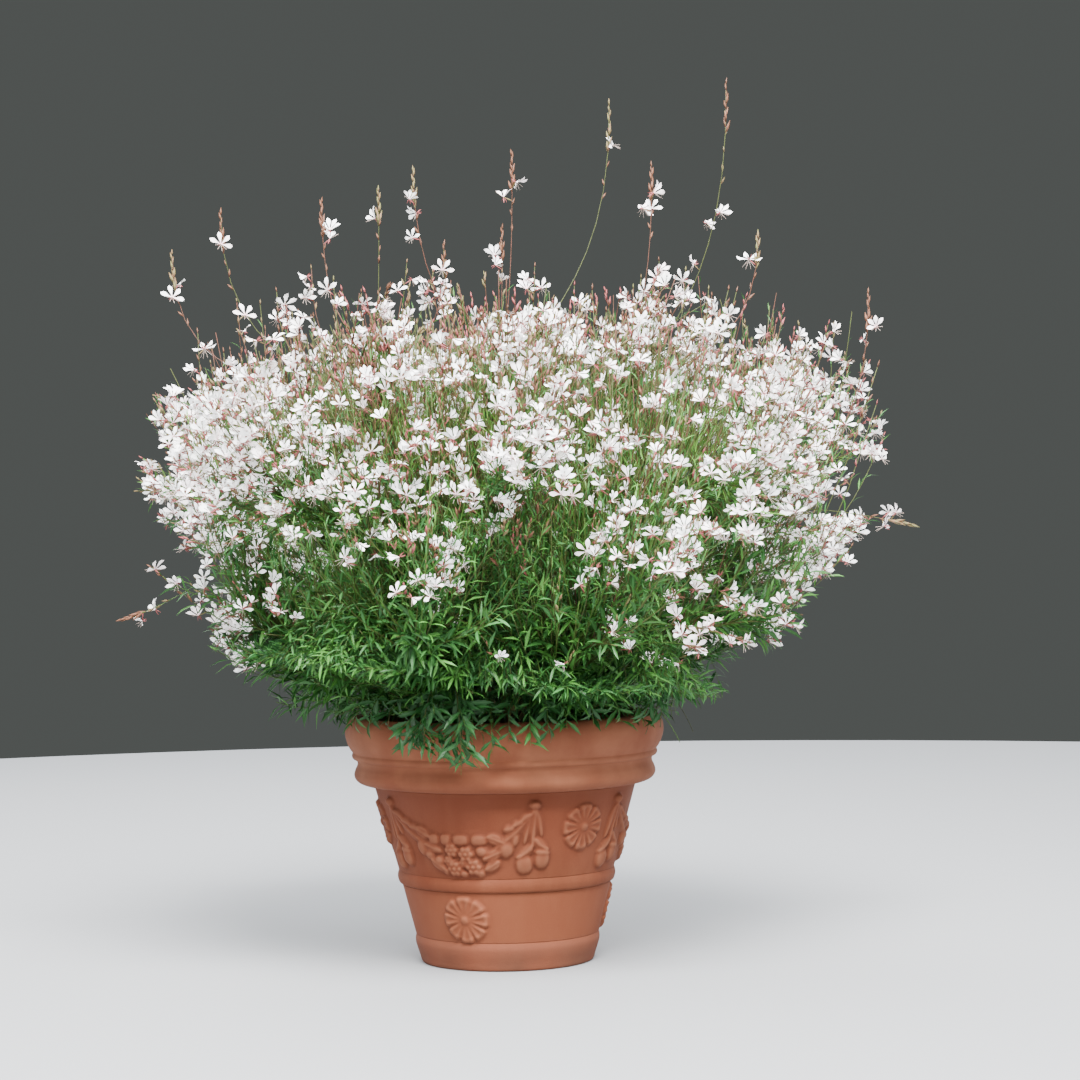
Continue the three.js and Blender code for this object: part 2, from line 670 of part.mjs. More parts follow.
// A wand leaves the mass's stem and rises to its own tip, which may stand out of the mound
function addWand(mass, tip, number) {
  const root = pointOn(mass.path, WAND_ROOT);
  const tangent = wayOn(mass.path, WAND_ROOT);
  const span = root.distanceTo(tip);
  const rise = tip.z > 700 ? vec(0, 0, -0.42 * span) : vec(-0.0008 * tip.x * span, 0, 0.12 * span);
  const curve = new THREE.CubicBezierCurve3(
    root, root.clone().addScaledVector(tangent, span * 0.3), tip.clone().add(rise), tip);
  const wand = stretch(curve, 0, 1, WAND_STEPS).points;
  const anywhere = () => true;
  const shape = twigShape(wand, WAND_RADIUS, WAND_RADIUS * 0.75);
  if (!fits(mass.shoot, shape, pointOn(wand, 0.05), tip, WAND_RADIUS, anywhere)) {
    return;
  }
  mass.shapes.push(shape);
  if (tip.z < BUD_TIP_HEIGHT) {
    addBlossom(mass, tip, wayOn(wand, 1), number, anywhere);
  }
  const t = 0.8;
  const way = leaning(wayOn(wand, t), 2 * Math.PI * chance(number, 1), 55 * DEGREE);
  const base = pointOn(wand, t);
  const end = base.clone().addScaledVector(way, STALK_LENGTH);
  if (addBlossom(mass, end, way, number + 1, anywhere)) {
    mass.shapes.push(twigShape([base, end], STALK_RADIUS, STALK_RADIUS));
  }
}

// A sprig leaves the mass's stem, passes over the rim and hangs to its own tip
function addSprig(mass, tip, number) {
  const root = pointOn(mass.path, 0.2);
  const over = onRay(Math.atan2(tip.y, tip.x) / DEGREE, Math.hypot(tip.x, tip.y) + 12, 425);
  const curve = new THREE.QuadraticBezierCurve3(root, over, tip);
  const sprig = stretch(curve, 0, 1, SPRIG_STEPS).points;
  const shape = twigShape(sprig, TWIG_RADIUS, TWIG_RADIUS * 0.8);
  if (!fits(mass.shoot, shape, pointOn(sprig, 0.1), tip, TWIG_RADIUS)) {
    return;
  }
  mass.shapes.push(shape);
  for (let j = 0; j < SPRIG_LEAVES; j += 1) {
    const t = 0.97 - 0.2 * j;
    addLeaf(mass, pointOn(sprig, t), wayOn(sprig, t), number + j * GOLDEN_ANGLE * DEGREE, 0.6);
  }
}

function growMass(shoot) {
  const { points, tangents } = stretch(shoot.curve, shoot.entry, 1, MASS_STEM_STEPS);
  const mass = { shoot, path: points, shapes: [], twigs: [], grown: [] };
  const radii = points.map((_, i) => MASS_STEM_RADIUS * (1 - (0.3 * i) / MASS_STEM_STEPS));
  mass.shapes.push(limbShape(points, tangents, radii, 3));
  addTwigs(mass);
  dressStem(mass);
  dressTwigs(mass);
  WANDS.forEach(([x, y, z], number) => {
    if (inSpace(shoot, vec(x, y, z))) {
      addWand(mass, vec(x, y, z), number);
    }
  });
  SPRIGS.forEach(([x, y, z], number) => {
    if (inSpace(shoot, vec(x, y, z))) {
      addSprig(mass, vec(x, y, z), number);
    }
  });
  mass.solid = fuse(mass.shapes.map(({ corners, faces }) => solidOf(corners, faces)));
  return mass;
}

// The whole object

const group = new THREE.Group();
group.name = 'potted_gaura';
group.add(meshOf(pot, 'pot', 0xb4664a, 0.85));
group.add(meshOf(compost, 'compost', 0x3a2b20, 0.95));
group.add(meshOf(rootCrown(), 'root_crown', 0x6a5136, 0.85));

const leafGreen = { skirt: 0x41702f, side: 0x6f9152, upper: 0xb4c49a, heart: 0x4d7838, top: 0xc3cfae };
for (const shoot of shoots) {
  const { points, tangents } = shoot.bare;
  const { corners, faces } = limbShape(points, tangents, shoot.bareRadii, STEM_SIDES);
  group.add(meshOf(solidOf(corners, faces), `stem_${shoot.name}`, 0x7c7a45, 0.75));
  const mass = growMass(shoot);
  group.add(meshOf(mass.solid, `foliage_${shoot.name}`, leafGreen[shoot.ring.name], 0.8));
}

export default group;
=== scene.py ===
# %% [markdown]
# # A potted gaura
# A terracotta pot with a moulded garland carries a wide, airy mound of gaura: wiry stems, narrow
# leaves, and four-petalled white flowers below slender buds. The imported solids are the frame. They give
# every place and size, and each piece made here stands where its solid stands.

# %% Load the fixed frame
import math

import bpy
import numpy as np
from mathutils import Matrix


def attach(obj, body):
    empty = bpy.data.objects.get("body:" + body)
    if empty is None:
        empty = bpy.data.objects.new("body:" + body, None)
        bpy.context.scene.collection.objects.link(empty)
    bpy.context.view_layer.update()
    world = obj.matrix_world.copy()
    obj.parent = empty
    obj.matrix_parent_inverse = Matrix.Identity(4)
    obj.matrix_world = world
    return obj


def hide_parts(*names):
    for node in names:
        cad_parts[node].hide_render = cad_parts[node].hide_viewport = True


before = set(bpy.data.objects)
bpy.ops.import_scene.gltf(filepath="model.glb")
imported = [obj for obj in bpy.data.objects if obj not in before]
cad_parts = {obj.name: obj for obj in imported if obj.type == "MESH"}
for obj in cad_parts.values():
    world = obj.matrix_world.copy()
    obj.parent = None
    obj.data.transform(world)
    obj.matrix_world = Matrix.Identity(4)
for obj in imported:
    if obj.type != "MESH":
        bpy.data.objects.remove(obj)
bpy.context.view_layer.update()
scene = bpy.context.scene
MM = 0.001
print("solids in the frame:", len(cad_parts))

# %% [markdown]
# ## Camera, floor and light
# The photo was taken from about the height of the plant's middle, four metres off, with the camera
# turned a degree clockwise. A long lens keeps the pot's sides as straight as they are in the photo. The
# light is that of a bright, overcast day: soft from all round and stronger from above. One large lamp
# high in front puts soft shadows under the rim, and a weak one behind lifts the far edges. Only the
# camera sees the plain, dark backdrop, so it lights nothing.

# %% The camera
EYE = (0.0582, -4.05, 0.62025)
EYE_TILT = 90.093
EYE_ROLL = -0.95

camera_data = bpy.data.cameras.new("camera")
camera_data.lens = 90
camera_data.sensor_width = 36
camera = bpy.data.objects.new("camera", camera_data)
scene.collection.objects.link(camera)
camera.matrix_world = (
    Matrix.Translation(EYE)
    @ Matrix.Rotation(math.radians(EYE_TILT), 4, "X")
    @ Matrix.Rotation(math.radians(EYE_ROLL), 4, "Z"))
scene.camera = camera
print("the camera stands at", EYE, "with a lens of", camera_data.lens, "mm")

# %% [markdown]
# ## Shader maths as plain expressions
# A material is a graph of nodes. Written call by call it is hard to read, so one class wraps an output
# socket and lets `+`, `-` and `*` add the Math nodes, and one method adds every other node.

# %% A number in a material
class Value:
    """An output socket that carries a number: arithmetic on it adds Math nodes to the same tree."""

    def __init__(self, finish, socket):
        self.finish = finish
        self.socket = socket

    def math(self, operation, first, second):
        return self.finish.node("ShaderNodeMath", {"operation": operation}, {0: first, 1: second})

    def __add__(self, other):
        return self.math("ADD", self, other)

    def __radd__(self, other):
        return self.math("ADD", other, self)

    def __sub__(self, other):
        return self.math("SUBTRACT", self, other)

    def __rsub__(self, other):
        return self.math("SUBTRACT", other, self)

    def __mul__(self, other):
        return self.math("MULTIPLY", self, other)

    def __rmul__(self, other):
        return self.math("MULTIPLY", other, self)

    def between(self, low, high):
        """0 below low, 1 above high, and straight between them."""
        ranges = {1: low, 2: high, 3: 0.0, 4: 1.0}
        return self.finish.node("ShaderNodeMapRange", {"clamp": True}, {0: self, **ranges})


# %% A material
class Finish:
    """A material, and the nodes that are added to it."""

    def __init__(self, name, roughness, specular=0.2):
        self.material = bpy.data.materials.new(name)
        self.material.use_nodes = True
        self.tree = self.material.node_tree
        self.shader = self.tree.nodes["Principled BSDF"]
        self.shader.inputs["Roughness"].default_value = roughness
        self.shader.inputs["Specular IOR Level"].default_value = specular

    def node(self, kind, settings=None, sockets=None, out=0):
        """Adds one node: its settings first, then the values or links of its sockets."""
        node = self.tree.nodes.new(kind)
        for key, value in (settings or {}).items():
            setattr(node, key, value)
        for key, value in (sockets or {}).items():
            self.feed(node.inputs[key], value)
        return Value(self, node.outputs[out])

    def feed(self, socket, value):
        """Links a Value to the socket, or sets the socket to a number or a colour."""
        if isinstance(value, Value):
            self.tree.links.new(value.socket, socket)
        else:
            socket.default_value = value

    def places(self, stretch=(1, 1, 1)):
        """Object coordinates in metres, stretched along each axis."""
        at = self.node("ShaderNodeTexCoord", out=3)
        return self.node("ShaderNodeMapping", {}, {"Vector": at, "Scale": stretch})

    def noise(self, scale, detail, stretch=(1, 1, 1), roughness=0.5):
        """Soft noise from 0 to 1, as fine as the scale says."""
        sockets = {"Vector": self.places(stretch), "Scale": scale, "Detail": detail, "Roughness": roughness}
        return self.node("ShaderNodeTexNoise", {}, sockets)

    def mix(self, factor, first, second):
        """The first colour where factor is 0 and the second where it is 1."""
        sockets = {0: factor, 6: first, 7: second}
        return self.node("ShaderNodeMix", {"data_type": "RGBA"}, sockets, out=2)

    def attribute(self, name, part):
        """One number of a point attribute: part 0, 1 or 2."""
        whole = self.node("ShaderNodeAttribute", {"attribute_name": name}, out=1)
        return self.node("ShaderNodeSeparateXYZ", {}, {0: whole}, out=part)

    def paint(self, colour, bump=None, strength=0.3, depth=0.001):
        """Gives the shader its colour and, where there is a bump, a fine relief of that depth in metres."""
        self.feed(self.shader.inputs["Base Color"], colour)
        if bump is not None:
            sockets = {"Height": bump, "Strength": strength, "Distance": depth}
            self.feed(self.shader.inputs["Normal"], self.node("ShaderNodeBump", {}, sockets))
        return self.material


# %% Colours
STRONG_LIGHT = 1.7


def tone(red, green, blue):
    """A colour as it looks on screen, 0 to 255, made the linear one that nodes use by the screen's own
    curve. The light is strong, so that white petals come out white, and every other colour is darkened
    as much to match."""
    def straight(part):
        part = part / 255
        linear = part / 12.92 if part <= 0.04045 else ((part + 0.055) / 1.055) ** 2.4
        return linear / STRONG_LIGHT
    return (straight(red), straight(green), straight(blue), 1.0)


print("a middle grey in the nodes:", np.round(tone(128, 128, 128)[:3], 3))


# %% [markdown]
# ## Surfaces from arrays
# A surface here is an array of points and arrays of faces. All of them are worked out at once with numpy
# and handed to the mesh in one go, which is much faster than adding points one by one.


# %% From arrays to a mesh
def stacked(*parts):
    """The parts side by side on a new last axis, each stretched to the same size first."""
    return np.stack(np.broadcast_arrays(*parts), -1)


def put_mesh(name, points, faces, materials, shades=None, places=None):
    """Makes a smooth object at the origin. points are (n, 3) in millimetres, faces is a list of (m, k)
    arrays, shades gives each face its material, and places is a point attribute of three numbers."""
    mesh = bpy.data.meshes.new(name)
    corners = np.concatenate([part.ravel() for part in faces]).astype(np.int32)
    counts = np.concatenate([np.full(len(part), part.shape[1]) for part in faces])
    mesh.vertices.add(len(points))
    mesh.vertices.foreach_set("co", (points * MM).astype(np.float32).ravel())
    mesh.loops.add(len(corners))
    mesh.loops.foreach_set("vertex_index", corners)
    mesh.polygons.add(len(counts))
    mesh.polygons.foreach_set("loop_start", (np.cumsum(counts) - counts).astype(np.int32))
    mesh.polygons.foreach_set("use_smooth", np.ones(len(counts), bool))
    for material in materials:
        mesh.materials.append(material)
    if shades is not None:
        mesh.polygons.foreach_set("material_index", np.concatenate(shades).astype(np.int32))
    if places is not None:
        layer = mesh.attributes.new("place", "FLOAT_VECTOR", "POINT")
        layer.data.foreach_set("vector", places.astype(np.float32).ravel())
    mesh.update(calc_edges=True)
    mesh.validate()
    piece = bpy.data.objects.new(name, mesh)
    scene.collection.objects.link(piece)
    print(f"{name}: {len(points)} points, {int((counts - 2).sum())} triangles")
    return piece


def stands_for(piece, slot, *nodes):
    """The piece rides on the only body and replaces the CAD nodes. The slot is not used."""
    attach(piece, "root")
    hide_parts(*nodes)


# %% The floor
FLOOR_RADIUS = 4400
FLOOR_SIDES = 96

floor_angles = np.linspace(0, 2 * np.pi, FLOOR_SIDES, endpoint=False)
floor_points = stacked(np.cos(floor_angles), np.sin(floor_angles), 0) * FLOOR_RADIUS
floor_material = Finish("floor_paper", 0.85).paint(tone(192, 193, 195))
floor = put_mesh("floor", floor_points, [np.arange(FLOOR_SIDES)[None]], [floor_material])

# %% Soft light from all round
LOW_SKY = (0.66, 0.70, 0.72, 1)
HIGH_SKY = (2.50, 2.62, 2.76, 1)
BACKDROP = (0.085, 0.092, 0.088, 1)

world = bpy.data.worlds.new("soft_daylight")
scene.world = world
world.use_nodes = True
sky_nodes = world.node_tree.nodes
sky_links = world.node_tree.links
rays = sky_nodes.new("ShaderNodeLightPath")
compass = sky_nodes.new("ShaderNodeTexCoord")
axes = sky_nodes.new("ShaderNodeSeparateXYZ")
climb = sky_nodes.new("ShaderNodeMapRange")
climb.inputs["From Min"].default_value = -0.1
climb.inputs["From Max"].default_value = 0.8
dome = sky_nodes.new("ShaderNodeMix")
dome.data_type = "RGBA"
dome.inputs[6].default_value = LOW_SKY
dome.inputs[7].default_value = HIGH_SKY
backdrop = sky_nodes.new("ShaderNodeMix")
backdrop.data_type = "RGBA"
backdrop.inputs[7].default_value = BACKDROP
sky_links.new(compass.outputs["Generated"], axes.inputs[0])
sky_links.new(axes.outputs["Z"], climb.inputs["Value"])
sky_links.new(climb.outputs[0], dome.inputs[0])
sky_links.new(dome.outputs[2], backdrop.inputs[6])
sky_links.new(rays.outputs["Is Camera Ray"], backdrop.inputs[0])
sky_links.new(backdrop.outputs[2], sky_nodes["Background"].inputs["Color"])


def soft_lamp(name, place, aim, size, power):
    """A square lamp of that size in metres, turned so that it shines at the aim."""
    data = bpy.data.lights.new(name, "AREA")
    data.size = size
    data.energy = power
    lamp = bpy.data.objects.new(name, data)
    scene.collection.objects.link(lamp)
    way = Matrix.Translation(aim).translation - Matrix.Translation(place).translation
    lamp.matrix_world = Matrix.Translation(place) @ way.to_track_quat("-Z", "Y").to_matrix().to_4x4()
    print(f"{name}: {size} m wide, {power} W, {way.length:.1f} m from its aim")


soft_lamp("lamp_above", (0.4, -2.7, 3.8), (0, 0, 0.6), 2.0, 1200)
soft_lamp("lamp_behind", (-1.2, 2.6, 3.4), (0, 0, 0.7), 2.2, 190)

# %% [markdown]
# ## Terracotta
# The pot is pressed clay, fired and then weathered: orange-brown, chalky on the rim, and darker where the
# foot is damp. Light and shade are painted on as well: the raised edges of the relief are lighter, partly
# chalky wear and partly a painted highlight, the hollows of the relief and the wall under the collar carry
# painted shade, and the low wall carries painted light, as if thrown up from the floor. The relief carries
# an attribute that says how hollow each point is and how high up the pot, and soft noise gives the
# blotches and the fine grain.


# %% The finish of the pot
def terracotta():
    """Heights here are parts of the pot's own: the foot ends at 0.11, the ring lies between 0.32 and 0.37,
    and the collar starts at 0.72."""
    clay = Finish("terracotta_weathered_and_painted_light", 0.82, 0.22)
    blotch = clay.noise(9, 4, (1, 1, 0.6), 0.6).between(0.38, 0.66)
    streak = clay.noise(26, 3, (1, 1, 0.16), 0.55).between(0.46, 0.74)
    grain = clay.noise(420, 2)
    pits = clay.noise(1500, 1)
    hollow = clay.attribute("place", 0)
    height = clay.attribute("place", 1)
    colour = clay.mix(blotch, tone(140, 75, 47), tone(127, 64, 39))
    colour = clay.mix(streak * 0.35, colour, tone(152, 92, 63))
    colour = clay.mix(grain.between(0.35, 0.75) * 0.3, colour, tone(114, 57, 34))
    colour = clay.mix(clay.noise(4, 2).between(0.42, 0.62) * 0.3, colour, tone(117, 73, 46))
    # Painted shade: the hollows of the relief are darkened.
    colour = clay.mix(hollow.between(0.1, 1.0) * 0.4, colour, tone(90, 40, 24))
    # Painted highlight, with some chalky wear: the raised parts of the relief are lightened.
    colour = clay.mix((0.0 - hollow).between(0.0, 0.8) * 0.6, colour, tone(164, 104, 75))
    # Painted shade: the wall grows darker towards the underside of the collar, where the overhang shades it.
    painted_shade_under_collar = height.between(0.48, 0.70) * (1 - height.between(0.72, 0.73))
    colour = clay.mix(painted_shade_under_collar * 0.55, colour, tone(120, 58, 34))
    # Painted light: the low wall is lightened, as if lit from the floor below.
    painted_light_low_wall = height.between(0.09, 0.13) * (1 - height.between(0.30, 0.33))
    colour = clay.mix(painted_light_low_wall * 0.35, colour, tone(168, 94, 62))
    foot = 1 - height.between(0.10, 0.13)
    colour = clay.mix(foot * 0.3, colour, tone(168, 100, 76))
    damp = (1 - height.between(0.0, 0.13)) * clay.noise(14, 4).between(0.36, 0.62)
    colour = clay.mix(damp * 0.55, colour, tone(98, 68, 52))
    chalk = height.between(0.70, 0.78) * (0.4 + clay.noise(20, 4).between(0.4, 0.7) * 0.6)
    colour = clay.mix(chalk * 0.6, colour, tone(176, 114, 82))
    clay.feed(clay.shader.inputs["Roughness"], 0.74 + blotch * 0.14)
    return clay.paint(colour, grain * 0.6 + pits * 0.4, 0.28, 0.0012)


terracotta_material = terracotta()
print("nodes in", terracotta_material.name, len(terracotta_material.node_tree.nodes))

# %% [markdown]
# ## The pot's body
# A pot is turned or pressed round an axis, so its body is a profile carried round a circle. The
# profile is given by its corners, and corners that are soft on the real pot are cut off twice. The two
# stretches of wall that carry relief lie about a millimetre deeper here, under the relief bands.

# %% The profile carried round the axis
# Each point is (radius, height) in millimetres.
FOOT_PROFILE = [(0, 0), (125, 0), (129, 1.5), (131.4, 11), (135.7, 23), (138.2, 33), (136.8, 42)]
LOWER_RECESS = [(136.2, 43.5), (155.0, 116.5)]
RING_PROFILE = [(156.4, 118), (160.6, 119.5), (163.2, 128), (162.6, 134), (161, 138)]
UPPER_RECESS = [(160.4, 139.5), (194.5, 263.0)]
RIM_PROFILE = [
    (196, 264.6), (211, 266.5), (220.5, 270.5), (225, 276.5), (225.8, 282), (223.6, 289), (220.8, 294.5),
    (220.2, 299), (221.8, 303.4), (226.4, 304.6), (228.4, 307.5), (228.6, 311), (227.2, 314), (228.8, 316.2),
    (232, 320.5), (235.6, 328.5), (238.6, 340), (238.2, 352), (234, 361), (228, 366.5), (221, 368.5),
    (212, 367), (207, 360),
]
INSIDE_PROFILE = [(199, 300), (178, 262), (141.5, 136), (117, 34), (0, 30)]
WALL_HEIGHTS = [0, 42, 118, 138, 265]
WALL_RADII = [129, 136.8, 156.4, 161, 196]
POT_HEIGHT = 368.5
POT_SIDES = 192
RIM_RADIUS = 238.6
CORNER_CUT = 0.22


def wall_radius(height):
    """Radius of the bare wall at a height, straight between its measured places."""
    return np.interp(height, WALL_HEIGHTS, WALL_RADII)


def softened(corners):
    """Cuts each corner off twice over: every stretch a-b keeps the points at the cut and at 1 - cut."""
    line = np.array(corners, float)
    for _ in range(2):
        start, end = line[:-1], line[1:]
        shorter = (end - start) * CORNER_CUT
        pairs = np.stack([start + shorter, end - shorter], 1).reshape(-1, 2)
        line = np.concatenate([line[:1], pairs[1:-1], line[-1:]])
    return line


def ring_faces(rings, sides, close_rings=False):
    """Quads between neighbouring rings of corners, each ring closed on itself."""
    ring, side = np.meshgrid(np.arange(rings - (not close_rings)), np.arange(sides), indexing="ij")
    ahead = (ring + 1) % rings
    beside = (side + 1) % sides
    quads = [ring * sides + side, ring * sides + beside, ahead * sides + beside, ahead * sides + side]
    return np.stack(quads, -1).reshape(-1, 4)


def turned(profile, sides):
    """(r sin a, -r cos a, z) for every profile point and angle a, with one point at each pole."""
    angle = np.arange(sides) * 2 * np.pi / sides
    radius, height = profile[1:-1, 0][:, None], profile[1:-1, 1][:, None]
    rings = stacked(radius * np.sin(angle), -radius * np.cos(angle), height)
    points = np.concatenate([rings.reshape(-1, 3), [[0, 0, profile[0, 1]], [0, 0, profile[-1, 1]]]])
    last = (len(profile) - 3) * sides
    side = np.arange(sides)
    beside = (side + 1) % sides
    low = stacked(len(points) - 2, beside, side)
    high = stacked(len(points) - 1, last + side, last + beside)
    return points, [ring_faces(len(profile) - 2, sides), low, high]


def heights_of(points, hollow=0.0):
    """For each point: how hollow it is, its height as a part of the pot's, and nothing."""
    return stacked(hollow, points[:, 2] / POT_HEIGHT, 0.0)


# %% The pot's body
pot_profile = np.concatenate([
    softened(FOOT_PROFILE), LOWER_RECESS, softened(RING_PROFILE), UPPER_RECESS,
    softened(RIM_PROFILE), softened(INSIDE_PROFILE)])
pot_points, pot_faces = turned(pot_profile, POT_SIDES)
pot_body = put_mesh("pot_body", pot_points, pot_faces, [terracotta_material], places=heights_of(pot_points))
stands_for(pot_body, "terracotta", "pot")

# %% [markdown]
# ## The moulded relief
# On the real pot the garlands, tassels and rosettes were pressed in a mould. Sculpting them by hand
# would be slow to repeat, so each is a height above the wall: a function of the distance round the wall
# and the height up it. Bumps, pods and ribbons are small formulas, the highest wins at each point, and
# one third of the way round is worked out and laid three times.


# %% The forms of the relief
def bump(s, z, at, size, height, turn=0.0, square=2.0):
    """h (1 - |x/a|^n - |y/b|^n)^0.5 in axes turned with the form: a dome, squarer with a larger n."""
    c, n = math.cos(math.radians(turn)), math.sin(math.radians(turn))
    x = (s - at[0]) * c + (z - at[1]) * n
    y = (z - at[1]) * c - (s - at[0]) * n
    left = 1 - np.abs(x / size[0]) ** square - np.abs(y / size[1]) ** square
    return height * np.sqrt(np.clip(left, 0, 1))


def pod(s, z, start, end, width, height, ribs=3, sag=0.0):
    """A pointed leaf or fold from start to end. With u along and v across it, its half width is
    w sin(pi u^0.8)^0.6 and its height h (1 - (v / half)^2)^0.5, less a part that cos(2 pi ribs v) gives."""
    way = np.subtract(end, start)
    span = math.hypot(*way)
    way = way / span
    u = ((s - start[0]) * way[0] + (z - start[1]) * way[1]) / span
    v = (z - start[1]) * way[0] - (s - start[0]) * way[1] + sag * 4 * u * (1 - u)
    inside = np.clip(u, 0.001, 0.999)
    half = width * np.sin(np.pi * inside ** 0.8) ** 0.6
    left = np.clip(1 - (v / half) ** 2, 0, 1) * ((u > 0) & (u < 1))
    groove = 0.84 + 0.16 * np.cos(2 * np.pi * ribs * v / (2 * width))
    return height * np.sqrt(left) * groove


ROSETTE_PETALS = 8


def rosette(s, z, at, radius):
    """Eight petals in polar axes: c runs from 0 in a petal's middle to 1 between two. Each petal has a
    raised rim near c = 0.6 and at its outer end, a groove at c = 1, and a round boss covers the centre."""
    x, y = s - at[0], z - at[1]
    reach = np.hypot(x, y)
    c = np.abs((np.arctan2(y, x) * ROSETTE_PETALS / (2 * np.pi) + 0.5) % 1 - 0.5) * 2
    edge = radius * (0.86 + 0.14 * np.sqrt(np.clip(1 - c ** 2, 0, 1)))
    part = reach / edge
    plate = 4.2 * np.sqrt(np.clip(1 - part ** 8, 0, 1))
    past_boss = np.clip((reach - 8) / 6, 0, 1) * (part < 1)
    rim = 2.0 * np.exp(-((c - 0.6) / 0.2) ** 2) - 3.0 * np.exp(-((1 - c) / 0.2) ** 2)
    rim = rim - 1.4 * np.exp(-(c / 0.25) ** 2) * np.clip(1 - part, 0, 0.5)
    end = 1.5 * np.exp(-((part - 0.88) / 0.08) ** 2)
    petals = np.clip(plate + past_boss * (rim + end), 0, None)
    return np.maximum(petals, bump(s, z, at, (8.5, 8.5), 7.5))


def daisy(s, z, at, radius, height):
    """A small flower: a ring of six bumps with one in the middle."""
    petals = [
        bump(s, z, (at[0] + radius * 0.62 * math.cos(a), at[1] + radius * 0.62 * math.sin(a)),
             (radius * 0.42, radius * 0.42), height)
        for a in np.arange(6) * math.pi / 3]
    return np.maximum.reduce(petals + [bump(s, z, at, (radius * 0.36, radius * 0.36), height * 1.25)])


# %% The cluster in the middle of the garland
CLUSTER_SHIFT = 7
# A fruit: its middle, half its width and height, how far it stands out, its turn and its squareness.
FRUITS = [
    ((-40, 197), (10, 8.5), 6.5, 0, 2.6), ((-21, 197), (9, 8.5), 6.5, 0, 2.6),
    ((2, 197), (13, 8.5), 6.5, 0, 2.6), ((29, 197), (13, 8.5), 6.5, 0, 2.6),
    ((-65, 184), (11, 13), 7, 12), ((67, 183), (11.5, 12.5), 7.5, -10), ((-53, 174), (9, 8), 6),
    ((80, 197), (6, 11), 5.5, -12), ((32, 180), (10, 8), 6.5, -20), ((-37, 165), (9, 8), 6.5),
    ((2, 147), (8, 6), 6), ((28, 148), (8, 6.5), 5.5), ((-27, 150), (7, 6), 5)]
# A leaf: where it starts and ends, half its width, and how far it stands out.
CLUSTER_LEAVES = [
    ((-72, 212), (-45, 200), 9.5, 6.5), ((40, 203), (66, 192), 9, 6.5), ((-58, 190), (-30, 179), 8, 6.5),
    ((-52, 168), (-24, 150), 9, 6.5), ((60, 180), (32, 168), 9, 6.5), ((58, 166), (34, 152), 8.5, 6.5)]
# A small flower: its middle, its radius, and how far it stands out.
DAISIES = [
    ((-14, 182), 11, 6.5), ((8, 176), 12, 7.5), ((-20, 165), 9, 6), ((-12, 154), 12, 7.5),
    ((18, 157), 12.5, 7.5), ((3, 163), 8, 6)]


def cluster(s, z):
    """Fruits, leaves and small flowers on a low bed, with the larger flowers low in the middle."""
    s = s - CLUSTER_SHIFT
    forms = [bump(s, z, *fruit) for fruit in FRUITS]
    forms += [pod(s, z, *leaf) for leaf in CLUSTER_LEAVES]
    forms += [daisy(s, z, *flower) for flower in DAISIES]
    return np.maximum.reduce(forms) + bump(s, z, (0, 178), (70, 34), 1.6, 0, 3)


# %% Swags, tassels and the whole of a third
KNOB_REACH = 113
KNOB_HEIGHT = 246
SWAG_LEAVES = 7
ROSETTE_TURN = 62
ROSETTE_HEIGHT = 211


def swag(s, z, side):
    """Leaves laid over one another from a knob to the corner of the cluster. At t of the way they are set
    4 + 9 t above and below the arc by turns, and are 5.5 + 3.5 t wide to each side."""
    def spot(t, row):
        away = row * (4 + 9 * t)
        return (side * (KNOB_REACH - 54 * t + away * 0.3) + CLUSTER_SHIFT * t,
                KNOB_HEIGHT - 6 - 42 * t - 20 * t * (1 - t) + away)

    forms = [bump(s, z, (side * 84 + CLUSTER_SHIFT * 0.5, 211), (20, 13), 1.8, side * 40)]
    for number in range(SWAG_LEAVES):
        t = number / (SWAG_LEAVES + 1)
        raised = number % 2
        row = 1 if raised else -1
        start, end = spot(t, row * 0.5), spot(t + 0.36, row)
        forms.append(pod(s, z, start, end, 5.5 + 3.5 * t, 5.4 + 1.1 * raised, 2))
    return np.maximum.reduce(forms)


def tassel(s, z, side):
    """A knob with ribbons, two leaves and two bell-shaped fruits under it."""
    s = s - side * KNOB_REACH
    return np.maximum.reduce([
        bump(s, z, (0, KNOB_HEIGHT + 1), (8.5, 7), 8.5),
        bump(s, z, (0, KNOB_HEIGHT - 7), (6, 3.5), 5.5),
        pod(s, z, (-3, 240), (-13, 190), 6.0, 5.0, 2), pod(s, z, (1, 240), (-2, 178), 5.0, 6.0, 2),
        pod(s, z, (3, 240), (12, 200), 5.5, 5.0, 2),
        pod(s, z, (2, 198), (24, 181), 8.5, 6.5, 2, 3), pod(s, z, (0, 190), (-25, 170), 8.0, 6.0, 2, -3),
        bump(s, z, (-12, 160), (13.5, 14), 7.0, 8, 2.3), bump(s, z, (14, 167), (12.5, 14), 7.5, -6, 2.3),
        bump(s, z, (14, 177), (12.8, 6), 8.2, -6)])


def upper_third(s, z, third):
    """The cluster, a swag and a tassel to each side of it, and the rosettes where two thirds meet."""
    rosette_at = (third * ROSETTE_TURN / 120, ROSETTE_HEIGHT)
    forms = [cluster(s, z)]
    for side in (-1, 1):
        forms += [swag(s, z, side), tassel(s, z, side)]
    forms += [rosette(s, z, rosette_at, 34.5), rosette(s + third, z, rosette_at, 34.5)]
    return np.maximum.reduce(forms)


def lower_third(s, z, third):
    """One rosette in the middle, however wide the third is."""
    return rosette(s, z, (0, 77), 35.5)


# %% The relief bands
GARLAND_TURN = -23.5
FINE_ROUNDS = 2
BROAD_ROUNDS = 14
BAND_DEPTH = 4


def smoothed(relief, rounds):
    """Brings each height halfway to the mean of its neighbours, round the wall and then up it."""
    relief = relief.copy()
    for _ in range(rounds):
        relief = (2 * relief + np.roll(relief, 1, 1) + np.roll(relief, -1, 1)) / 4
        relief[1:-1] = (2 * relief[1:-1] + relief[2:] + relief[:-2]) / 4
    return relief


